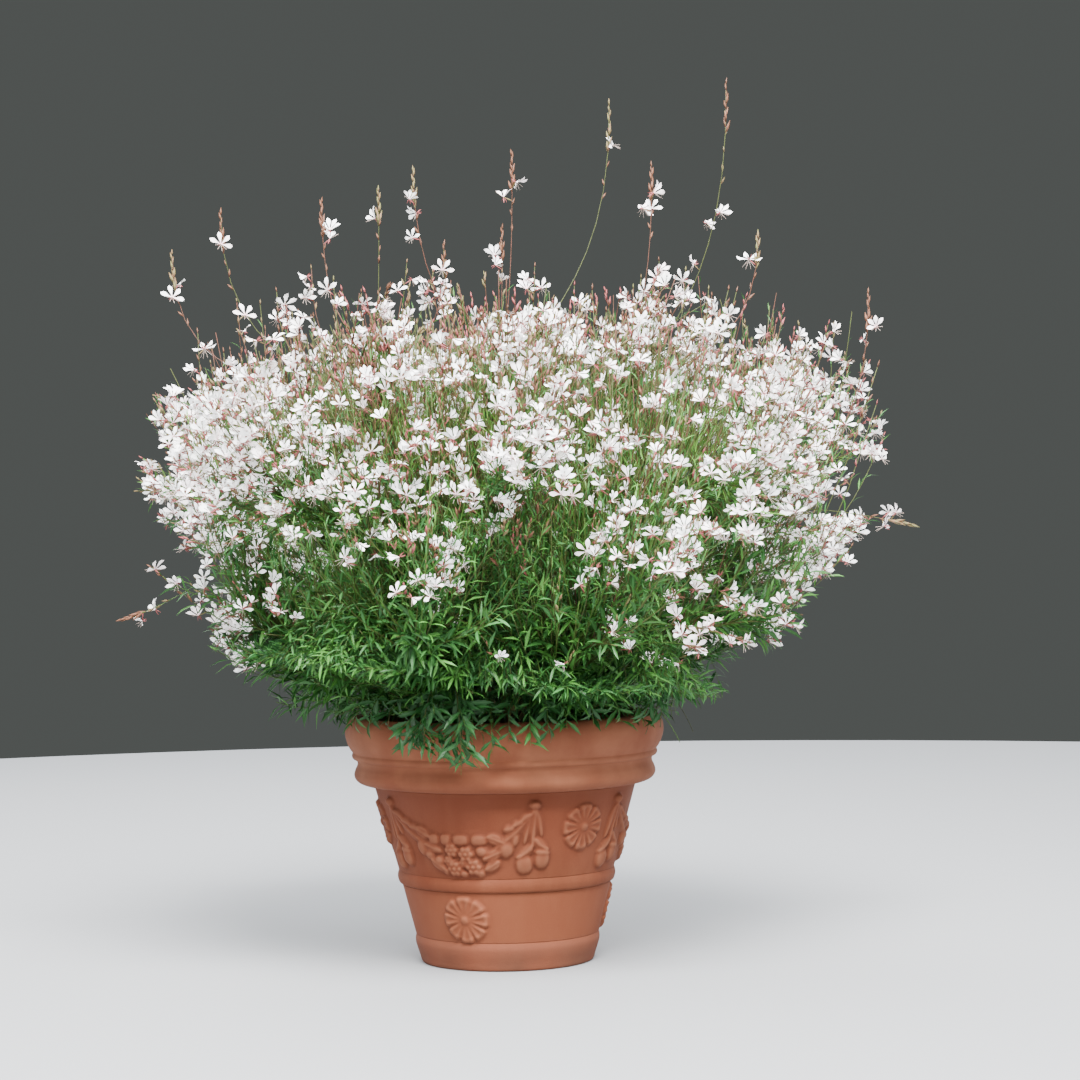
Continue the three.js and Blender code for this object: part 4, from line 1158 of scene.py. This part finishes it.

# %% [markdown]
# ## Greens, whites and pinks
# The colours have a place: darker, bluer greens low in the mound, fresh yellow-greens above, reddish
# stems and buds at the top. Part of that is painted light and shade: the deep greens low in the mound, on
# what hangs over the rim and among the blossom are partly painted shade, and the low leaves are lighter
# just over the rim, where the mound shades them, and deeper on the shelf above, which catches the light.
# Each is a material with a plain colour of its own, dealt out by spray, and the leaf's midrib and the petal's
# pink base come from where a point lies on its own leaf.


# %% Finishes of leaves, petals, stalks and buds
def leaf_finish(name, colour, rib):
    """A green in soft patches, with a paler midrib where the leaf's own across is near 0."""
    leaf = Finish(name, 0.5, 0.26)
    side = leaf.node("ShaderNodeMath", {"operation": "ABSOLUTE"}, {0: leaf.attribute("place", 0)})
    midrib = 1 - side.between(0.0, 0.22)
    patch = leaf.noise(60, 2)
    shade = tuple(part * 0.72 for part in colour[:3]) + (1.0,)
    painted = leaf.mix(patch.between(0.35, 0.65) * 0.6, colour, shade)
    return leaf.paint(leaf.mix(midrib * 0.55, painted, rib), side * 0.5 + patch * 0.5, 0.25, 0.001)


PETAL_GLOW = 0.7


def petal_finish(name, colour, claw):
    """White with a pinker claw. The glow stands for the light that a thin petal lets through."""
    petal = Finish(name, 0.6)
    length = petal.attribute("place", 1)
    veins = petal.noise(700, 2)
    painted = petal.mix(1 - length.between(0.04, 0.34), colour, claw)
    painted = petal.mix(veins.between(0.5, 0.8) * 0.06, painted, claw)
    petal.shader.inputs["Emission Color"].default_value = colour
    petal.shader.inputs["Emission Strength"].default_value = PETAL_GLOW
    return petal.paint(painted, veins, 0.15, 0.0005)


leaf_materials = [
    leaf_finish("leaf_dark", tone(38, 90, 38), tone(78, 124, 70)),
    leaf_finish("leaf_deep", tone(56, 114, 48), tone(104, 154, 90)),
    leaf_finish("leaf_mid", tone(80, 144, 56), tone(128, 174, 102)),
    leaf_finish("leaf_blue", tone(68, 133, 64), tone(118, 168, 112)),
    leaf_finish("leaf_fresh", tone(108, 168, 60), tone(148, 190, 106)),
    leaf_finish("leaf_bright", tone(124, 168, 66), tone(162, 194, 116)),
]
stalk_materials = [
    stalk_finish("stalk_green", tone(92, 128, 52), tone(68, 100, 38)),
    stalk_finish("stalk_straw", tone(92, 100, 50), tone(70, 76, 38)),
    stalk_finish("stalk_red", tone(120, 74, 60), tone(86, 62, 42)),
]
petal_materials = [
    petal_finish("petal_white", (0.97, 0.97, 0.96, 1), (0.86, 0.62, 0.62, 1)),
    petal_finish("petal_blush", (0.96, 0.89, 0.89, 1), (0.80, 0.42, 0.48, 1)),
]
bud_materials = [
    stalk_finish("bud_rose", tone(188, 102, 104), tone(156, 84, 78)),
    stalk_finish("bud_brown", tone(148, 102, 78), tone(116, 78, 58)),
    stalk_finish("bud_green", tone(134, 136, 84), tone(156, 112, 88)),
]
stamen_material = stalk_finish("stamen_cream", tone(242, 228, 216), tone(228, 198, 184))
print("greens of the leaves:", len(leaf_materials), "colours of buds:", len(bud_materials))


# %% [markdown]
# ## Leaves
# A leaf is a narrow blade, folded a little along its midrib and bent down at the tip, and the ones over the
# rim have a tooth or two. There are tens of thousands, so a leaf has only a few faces, and one sum over
# arrays places all the copies in a piece. Instances would be lighter still, but a joined mesh can be
# exported as it is.


# %% Planting a small shape many times
def planted(template, origins, frames, sizes):
    """Point = origin + size (x across + y along + z normal), for every point of the shape at every place."""
    return origins[:, None] + np.einsum("mi,nij->nmj", template, frames) * sizes[:, None, None]


def plant(name, ring_name, shape, origins, frames, sizes, shades, materials):
    """Joins one copy of the shape at each place into one piece, which stands for the ring's masses."""
    template, faces, places = shape
    count = len(origins)
    points = planted(template, origins, frames, sizes).reshape(-1, 3)
    start = np.arange(count) * len(template)
    copied = [(part[None] + start[:, None, None]).reshape(-1, part.shape[1]) for part in faces]
    dealt = [np.repeat(shades, len(part)) for part in faces]
    places = np.tile(places, (count, 1))
    piece = put_mesh(f"{name}_{ring_name}", points, copied, materials, dealt, places)
    stands_for(piece, f"foliage_{ring_name}", *members("foliage", ring_name))


def joined(groups):
    """Each part of every group, end to end."""
    return [np.concatenate(part) for part in zip(*groups)]


# %% Leaf shapes
def blade(rows, widths, lift, length, fold, end=1.0):
    """A leaf or petal as a grid of three columns: across v = -1, 0, 1 and along u from 0 to 1. Its point is
    (v w(u), length u, lift(u) + fold |v| w(u)), and the outer columns stop a little short at the tip."""
    u = np.array(rows)[:, None]
    v = np.array([[-1.0, 0.0, 1.0]])
    w = np.array(widths)[:, None] * v
    y = length * (u - 0.06 * np.abs(v) * (u > 0.8) * end)
    z = np.array(lift)[:, None] + fold * np.abs(w)
    row, column = np.meshgrid(np.arange(len(rows) - 1), np.arange(2), indexing="ij")
    first = row * 3 + column
    faces = np.stack([first, first + 1, first + 4, first + 3], -1).reshape(-1, 4)
    return stacked(w, y, z).reshape(-1, 3), [faces], stacked(v, u, 0).reshape(-1, 3)


leaf_shape = blade([0, 0.3, 0.68, 1], [0.6, 3.9, 3.8, 0.1], [0, 2.2, 0.6, -5.6], 52, 0.28, 0)
small_leaf_shape = blade([0, 0.45, 1], [0.6, 4.2, 0.1], [0, 1.9, -5.0], 52, 0.28, 0)
toothed_shape = blade(
    [0, 0.22, 0.42, 0.46, 0.66, 0.70, 1], [0.8, 3.4, 6.0, 4.6, 5.2, 3.4, 0.1],
    [0, 1.4, 2.0, 1.9, 0.6, 0.2, -4.5], 44, 0.24, 0)
print("a leaf has", len(leaf_shape[1][0]), "faces, a toothed one", len(toothed_shape[1][0]))


# %% Where leaves sit
def leaf_frames(way, roll, sky=UP):
    """Across, along and normal for a leaf that points along way, its face turned to the sky and rolled."""
    across = unit(np.cross(way, sky))
    normal = np.cross(across, way)
    turned_across = across * np.cos(roll)[:, None] + normal * np.sin(roll)[:, None]
    return np.stack([turned_across, way, np.cross(turned_across, way)], 1)


def leaves_on(curves, key, per_twig, low=0.06, high=0.97, angle=46, size=1.0, lean=0.12, hanging=False):
    """Leaves by the golden angle along each curve, smaller towards the top of the plant and of the twig. The
    hanging ones may leave the outline of the mound, and turn their faces outwards."""
    step = np.tile(np.arange(per_twig, dtype=float), (len(curves), 1))
    t = low + (high - low) * (step + chance(key[:, None], step, 21)) / per_twig
    origins = along(curves, t)
    turn = np.radians(step * GOLDEN + 360 * chance(key, 11)[:, None])
    opening = angle * np.interp(origins[..., 2], [540, 760], [1.0, 0.6])
    way = leaning(heading(curves, t), turn, np.radians(opening + 18 * spread(key[:, None], step, 22)))
    way[..., 2] -= lean * np.interp(origins[..., 2], [430, 620], [1.0, 0.0])
    way = unit(way).reshape(-1, 3)
    origins = origins.reshape(-1, 3)
    key = np.repeat(key, per_twig)
    step = step.ravel()
    small = np.interp(origins[:, 2], [300, 450, 560, 760, 1000], [0.95, 0.85, 0.66, 0.50, 0.38])
    sizes = size * small * (0.7 + 0.5 * chance(key, step, 23)) * (1 - 0.25 * t.ravel())
    tips = origins + way * 48 * sizes[:, None]
    fits = off_pot(tips, 1.5) & off_pot(origins, 0.5) & off_pot((tips + origins) / 2, 1.5)
    fits &= (tips[:, 2] > 300 + 0.2 * np.abs(tips[:, 0] + 60)) if hanging else in_mound(tips, 1.04)
    sky = unit(origins * [1, 1, 0]) + 0.4 * UP if hanging else UP
    frames = leaf_frames(way, 0.9 * spread(key, step, 24), sky)
    frames[:, 0] *= np.interp(origins[:, 2], [400, 430, 500, 720], [0.8, 1.0, 1.0, 0.65])[:, None]
    return origins[fits], frames[fits], sizes[fits], key[fits]


# %% Which green a leaf has
HANGING_KEYS = 1000


def spray_key(twigs, order):
    """One number for each twig, so that everything on it can be dealt the same colour."""
    return twigs["owner"] * 211.0 + twigs["number"] * 3 + order


def leaf_green_and_painted_shade(height, key):
    """By spray and height: deep low down, bright above, deeper again among the blossom. The deep greens low
    down are partly the leaves' own and partly painted shade, and the deeper ones among the blossom are
    painted shade in the gaps between the flowers.
    """
    level = np.interp(height, [330, 780, 900], [0.1, 2.8, 1.2]) + chance(key, 51) * 2.2
    return np.clip(level.astype(int), 0, len(leaf_materials) - 1)


def rim_green_and_painted_shade(height, key):
    """By spray alone: the two deepest greens on what hangs over the rim, and the third too on the rest. These
    deep greens are partly the leaves' own bluish green and partly painted shade.
    """
    return (chance(key, 51) * np.where(key < HANGING_KEYS, 1.35, 2.4)).astype(int)


def low_green_and_painted_light(height, key):
    """By spray and height, with painted light and shade: lighter greens just over the rim near 380 mm, where
    the mound shades them, deeper ones on the shelf between 440 and 520 mm, which catches the light, and
    lighter again above.
    """
    painted_light_and_shade = np.interp(height, [380, 440, 510, 620], [1.3, 0.4, 0.1, 1.3])
    return np.maximum(chance(key, 51) * 3.0 + painted_light_and_shade, 0).astype(int)


# %% Leaves
def plant_leaves(name, ring_name, shape, shade_of, *groups):
    """The leaves of all the groups as one piece, in the greens that shade_of deals them."""
    origins, frames, sizes, keys = joined(groups)
    plant(name, ring_name, shape, origins, frames, sizes, shade_of(origins[:, 2], keys), leaf_materials)


def numbered(curves, start):
    """The curves with a key for each, counted from start."""
    return curves, np.arange(len(curves)) + float(start)


for ring_name, (first, second) in growth.items():
    shoots = ring_shoots[ring_name]
    per_twig, per_fine_twig = RINGS[ring_name]["leaves"]
    plant_leaves(
        "leaves", ring_name, leaf_shape if ring_name == "skirt" else small_leaf_shape, leaf_green_and_painted_shade,
        leaves_on(first["curves"], spray_key(first, 0), per_twig),
        leaves_on(shoot_curves[shoots], shoots + 0.5, 66, 0.08))
    plant_leaves(
        "fine_leaves", ring_name, small_leaf_shape, leaf_green_and_painted_shade,
        leaves_on(second["curves"], spray_key(second, 1), per_fine_twig))

plant_leaves(
    "toothed_leaves", "skirt", toothed_shape, rim_green_and_painted_shade,
    leaves_on(*numbered(sprigs, 900), 24, 0.3, 0.99, 60, 0.94, 0.2, True),
    leaves_on(*numbered(side_sprigs, 950), 9, 0.15, 0.99, 54, 1.0, 0.3, True),
    leaves_on(*numbered(overhang, 970), 15, 0.45, 0.99, 62, 0.94, 0.15, True),
    leaves_on(*numbered(rim_twigs, HANGING_KEYS), 12, 0.35, 0.99, 52, 0.78, 0.15))
plant_leaves(
    "low_leaves", "skirt", leaf_shape, low_green_and_painted_light,
    leaves_on(low_twigs["curves"], spray_key(low_twigs, 0), 13, 0.12, 0.98, 50, 0.68, 0.1),
    leaves_on(fill["curves"], spray_key(fill, 0), 12, 0.4, 0.99, 44, 0.74, -0.1))

# %% [markdown]
# ## Flower stems, buds and flowers
# At the top of a twig the leaves give way to slender buds, set round it one above the other, and one to
# three flowers are open just below them. A flower is a thin tube, four sepals folded back, four clawed
# petals that all stand in the upper half, and a brush of long stamens that hangs forward.

# %% The parts of one flower
PETAL_TURNS = [-84, -30, 26, 80]
HALF_OPEN_TURNS = [-92, -38, 12, 58]
SEPAL_TURNS = [-130, -60, 60, 130]
STAMEN_LENGTH = 12.0


def turned_set(shape, turns, tip_back):
    """Copies of a blade in a flower: each is bent back from the flower's face and turned round its axis.
    In the flower x is across, y is up and z faces forward."""
    points, (faces,), places = shape
    back, flat = math.sin(math.radians(tip_back)), math.cos(math.radians(tip_back))
    x = points[:, 0]
    y = points[:, 1] * flat + points[:, 2] * back
    z = points[:, 2] * flat - points[:, 1] * back
    turns = np.radians(turns)[:, None]
    c, s = np.cos(turns), np.sin(turns)
    copies = stacked(x * c + y * s, y * c - x * s, z).reshape(-1, 3)
    start = np.arange(len(turns))[:, None, None] * len(points)
    return copies, [(faces[None] + start).reshape(-1, 4)], np.tile(places, (len(turns), 1))


def stamen_set():
    """Four threads that leave the centre forward and fall away below it, each ending in a long anther."""
    turn = np.radians(np.linspace(-60, 60, 4))[:, None]
    step = np.array([0, 1.25])
    reach = STAMEN_LENGTH * step
    paths = stacked(
        reach * np.sin(turn) * 0.7, -reach * 0.55 * np.cos(turn) * step, reach * (1 - 0.28 * step))
    points, faces, _ = tubes(paths, np.tile([0.18, 0.38], (4, 1)), 3)
    return points, faces, np.zeros_like(points)


def bud_form(steps, radii, length):
    """A closed spindle of three sides: a ring of corners at each step, with flat little ends."""
    path = stacked(0, np.array(steps) * length, 0)[None]
    points, faces, _ = tubes(path, np.array(radii)[None], 3)
    return points, faces, np.zeros_like(points)


petal = blade([0, 0.3, 0.64, 0.9, 1], [0.5, 1.0, 3.4, 2.7, 0.9], [0, 0.3, 1.3, 0.8, -0.2], 19, 0.16)
open_petals = turned_set(petal, PETAL_TURNS, 8)
half_open_petals = turned_set(petal, HALF_OPEN_TURNS, -34)
sepal_shape = turned_set(blade([0, 0.5, 1], [0.6, 0.9, 0.2], [0, 0.5, 0], 9, 0.2), SEPAL_TURNS, 62)
stamen_shape = stamen_set()
bud_shape = bud_form([0, 0.5, 1], [0.7, 1.75, 0.2], 11.5)
neck_shape = bud_form([0, 0.45, 1], [0.8, 1.0, 0.6], 14)
print("faces of the four petals:", len(open_petals[1][0]))


# %% Where it blooms
# Groups of flowers in front: across and height of the middle, radius, and how far the bloom comes down.
BLOOM_GROUPS = np.array([
    (-65, 560, 70, 190), (305, 540, 105, 360), (-440, 610, 120, 210), (210, 600, 110, 110)], float)


def bloom_chance(tips, share):
    """Rises from the leafy skirt to the top, and sets in up to 160 mm lower at the left and 310 mm lower at
    the right than in front. A slow wave over the mound gathers the flowers into groups."""
    x, y, z = tips.T
    height = z + np.where(x < 0, 160, 220) * np.clip((np.abs(x) - 110) / 300, 0, 1)
    height = height + 25 * waves(x + y, z, 12, 170)
    for across, level, radius, gain in BLOOM_GROUPS:
        height = height + gain * np.exp(-((x - across) ** 2 + (z - level) ** 2) / radius ** 2)
    height = height + 90 * np.clip((x - 120) / 120, 0, 1)
    rise = np.interp(height, [550, 640, 685, 715, 760], [0.015, 0.04, 0.12, 0.65, 1.0])
    rise = rise * np.interp(z, [430, 500], [0.05, 1.0])
    share = share * (1 - 0.5 * np.clip((z - 820) / 100, 0, 1))
    inner = np.interp(z, [780, 860], [0.70, 0.80])
    return rise * share * np.where(in_mound(tips, inner), 0.12, 1.0)


# %% Where buds and flowers sit on a stem
NECK_LENGTH = 13.5


def flower_frames(facing, roll):
    """Across, up and forward for a flower that faces one way, rolled a little."""
    across = unit(np.cross(UP, facing))
    up = np.cross(facing, across)
    rolled = across * np.cos(roll)[:, None] + up * np.sin(roll)[:, None]
    return np.stack([rolled, np.cross(facing, rolled), facing], 1)


def spikes_on(curves, key, buds, low, high=1.0, size=1.0):
    """Buds by the golden angle from low to the tip, larger below than above, and one at the very tip."""
    step = np.tile(np.arange(buds, dtype=float), (len(curves), 1))
    t = low + (high - low) * (step + 0.3 * chance(key[:, None], step, 31)) / (buds - 1)
    t = np.minimum(t, 1)
    origins = along(curves, t).reshape(-1, 3)
    turn = np.radians(step * GOLDEN + 360 * chance(key, 32)[:, None])
    way = leaning(heading(curves, t), turn, np.radians(30 - 22 * t ** 8)).reshape(-1, 3)
    sizes = (1.2 - 0.5 * (t - low) / (high - low)) * (0.85 + 0.3 * chance(key[:, None], step, 33))
    sizes = size * sizes.ravel()
    return origins, leaf_frames(way, np.zeros(len(way))), sizes, np.repeat(key, buds)


def flowers_on(curves, key, t, turn_shift):
    """A flower on a thin neck at t of each curve. It faces outwards and to its own side."""
    origins, axis = spot_on(curves, t)
    way = leaning(axis, 2 * np.pi * chance(key, 41 + turn_shift), np.radians(48 + 20 * chance(key, 42)))
    outwards = unit(origins * [1, 1, 0] + [0, 0, 1])
    side = stacked(spread(key, 47), spread(key, 48), spread(key, 49) * 0.7)
    facing = unit(way * [1, 1, 0.35] * 0.6 + outwards * 0.15 + side * 1.5)
    return origins, way, origins + way * NECK_LENGTH, facing, key


# %% Buds and flowers on twigs and wands
BUDDING = 0.6
WAND_KEY = 700.0
FLOWERING_FILL = 655


def blooming(twigs, order, share):
    """The twigs that carry flowers, and of the others on the outside some that are still in bud."""
    key = spray_key(twigs, order)
    tips = twigs["curves"][:, -1]
    chosen = chance(key, 61) < bloom_chance(tips, share)
    in_bud = BUDDING * np.interp(tips[:, 2], [500, 640, 760, 900], [0.0, 0.45, 1.0, 0.6])
    budding = ~chosen & (chance(key, 64) < in_bud) & ~in_mound(tips, 0.74)
    return twigs["curves"][chosen], key[chosen], twigs["curves"][budding], key[budding]


def twig_blossom(ring_name):
    """Buds and up to three flowers on each flowering twig, most of them on the outside. In the skirt the
    lower of the leafy twigs between the shoots may flower too."""
    first, second = growth[ring_name]
    share = RINGS[ring_name]["bloom"]
    if ring_name == "skirt":
        low = fill["curves"][:, -1, 2] < FLOWERING_FILL
        first = {part: np.concatenate([first[part], fill[part][low]]) for part in first}
    curves, key, *in_bud = blooming(first, 0, share)
    fine_curves, fine_key, *fine_in_bud = blooming(second, 1, share * 0.9)
    inner, fine_inner = in_mound(curves[:, -1], 0.88), in_mound(fine_curves[:, -1], 0.88)
    twice = chance(key, 62) < np.where(inner, 0.7, 1.0)
    thrice = chance(key, 65) < np.where(inner, 0.35, 0.8)
    fine_twice = chance(fine_key, 62) < np.where(fine_inner, 0.35, 0.8)
    spikes = [
        spikes_on(curves, key, 4, 0.85), spikes_on(fine_curves, fine_key, 3, 0.83),
        spikes_on(*in_bud, 5, 0.85, 1, 1.25), spikes_on(*fine_in_bud, 4, 0.84, 1, 1.2)]
    flowers = [
        flowers_on(curves, key, 0.84 + 0.1 * chance(key, 63), 0),
        flowers_on(curves[twice], key[twice] + 0.3, 0.81, 2),
        flowers_on(curves[thrice], key[thrice] + 0.6, 0.77, 3),
        flowers_on(fine_curves, fine_key, 0.80 + 0.12 * chance(fine_key, 63), 1),
        flowers_on(fine_curves[fine_twice], fine_key[fine_twice] + 0.3, 0.78, 2)]
    return spikes, flowers


def wand_blossom(ring_name):
    """Buds at the tips of wands and sprays, a long spike of them on the 17 wands, and one to three flowers
    below."""
    mine = np.flatnonzero(np.isin(wand_owner, ring_shoots[ring_name]))
    wand, loose = mine[mine < LONG_WANDS], mine[mine >= LONG_WANDS]
    paired, again = mine[mine % 3 != 1], mine[WAND_SECOND[mine] > 0]
    spikes = [
        spikes_on(wands[wand], wand + WAND_KEY, 9, 0.92, 1, 1.4),
        spikes_on(wands[wand], wand + (WAND_KEY + 0.5), 5, 0.82, 0.95),
        spikes_on(wands[loose], loose + WAND_KEY, 5, 0.86)]
    flowers = [
        flowers_on(wands[mine], mine + WAND_KEY, WAND_FLOWER[mine], 0),
        flowers_on(wands[paired], paired + (WAND_KEY + 0.6), WAND_FLOWER[paired] - 0.03, 2),
        flowers_on(wands[again], again + (WAND_KEY + 0.3), WAND_SECOND[again], 1)]
    return spikes, flowers


# %% The blossom of each ring
def plant_buds(ring_name, spikes):
    """Three colours by spray, but none of the wands' buds are rose."""
    origins, frames, sizes, keys = joined(spikes)
    shades = (chance(keys, 52) * 3).astype(int)
    on_wand = (keys >= WAND_KEY) & (keys < WAND_KEY + 50)
    shades = np.where(on_wand, np.maximum(shades, 1), shades)
    plant("buds", ring_name, bud_shape, origins, frames, sizes, shades, bud_materials)


def plant_flowers(ring_name, flowers):
    """Petals, sepals, stamens and necks. Half of the flowers are half open, and three in ten blush."""
    origins, ways, centres, facing, keys = joined(flowers)
    frames = flower_frames(facing, 0.5 * spread(keys, 44))
    sizes = 0.72 + 0.36 * chance(keys, 45)
    blush = (chance(keys, 46) < 0.3).astype(int)
    plain, full_size = np.zeros(len(keys), int), np.ones(len(keys))
    half_open = chance(keys, 50) < 0.5
    for name, shape, which in (
            ("petals", open_petals, ~half_open), ("half_open_petals", half_open_petals, half_open)):
        spots = centres[which], frames[which], sizes[which]
        plant(name, ring_name, shape, *spots, blush[which], petal_materials)
    plant("sepals", ring_name, sepal_shape, centres, frames, sizes, plain, bud_materials)
    plant("stamens", ring_name, stamen_shape, centres, frames, sizes, plain, [stamen_material])
    along_neck = leaf_frames(ways, np.zeros(len(keys)))
    plant("necks", ring_name, neck_shape, origins, along_neck, full_size, blush * 2, bud_materials)
    print(ring_name, "flowers:", len(keys))


for ring_name in RINGS:
    twig_spikes, twig_flowers = twig_blossom(ring_name)
    wand_spikes, wand_flowers = wand_blossom(ring_name)
    plant_buds(ring_name, twig_spikes + wand_spikes)
    plant_flowers(ring_name, twig_flowers + wand_flowers)

# %% [markdown]
# ## Stalks
# The stalks come last because they are the simplest: one thin, tapering tube along each curve that
# the leaves and flowers were set on, green below and reddish above.


# %% The stalks of a ring
def stalk_groups(ring_name):
    """Groups of stalks: their paths, half the thickness at the foot and at the tip, the corners round
    them, and a key for each."""
    first, second = growth[ring_name]
    shoots = ring_shoots[ring_name]
    mine = np.flatnonzero(np.isin(wand_owner, shoots))
    within = entries[shoots][:, None] + (1 - entries[shoots])[:, None] * np.linspace(-0.01, 1, 9)[None]
    even = np.linspace(0, 1, 6)
    fine = np.linspace(0, 1, 14)
    groups = [
        (along(shoot_curves[shoots], within), 2.6, 0.9, 6, shoots * 0),
        (sampled(first["curves"], even), 1.25, 0.6, 4, spray_key(first, 0)),
        (sampled(second["curves"], even), 0.85, 0.5, 3, spray_key(second, 1)),
        (sampled(wands[mine], fine), 1.5, 0.55, 5, mine + WAND_KEY)]
    if ring_name == "skirt":
        groups.append((sampled(sprigs, fine), 1.5, 0.7, 4, np.arange(len(sprigs))))
        for curves, start in (
                (side_sprigs, 0.5), (rim_twigs, 0.6), (overhang, 0.8), (low_twigs["curves"], 0.7),
                (fill["curves"], 0.9)):
            groups.append((sampled(curves, even), 0.9, 0.5, 3, np.arange(len(curves)) + start))
    return groups


def stalk_tubes(paths, thick, thin, sides, keys):
    """Radius = thin + (thick - thin) (1 - t)^2. The colour goes by spray and by how high the tip is."""
    radii = thin + (thick - thin) * np.linspace(1, 0, paths.shape[1]) ** 2
    points, faces, owners = tubes(paths, np.tile(radii, (len(paths), 1)), sides)
    height = np.clip((paths[:, -1, 2] - 450) / 500, 0, 1)
    shade = np.clip((height * 1.1 + chance(keys, 53) * 1.4).astype(int), 0, len(stalk_materials) - 1)
    return points, faces, [shade[part] for part in owners]


for ring_name in RINGS:
    all_points, all_faces, all_shades, start = [], [], [], 0
    for group in stalk_groups(ring_name):
        points, faces, shades = stalk_tubes(*group)
        all_points.append(points)
        all_faces += [part + start for part in faces]
        all_shades += shades
        start += len(points)
    stalks = put_mesh(
        f"stalks_{ring_name}", np.concatenate(all_points), all_faces, stalk_materials, all_shades)
    stands_for(stalks, f"foliage_{ring_name}", *members("foliage", ring_name))
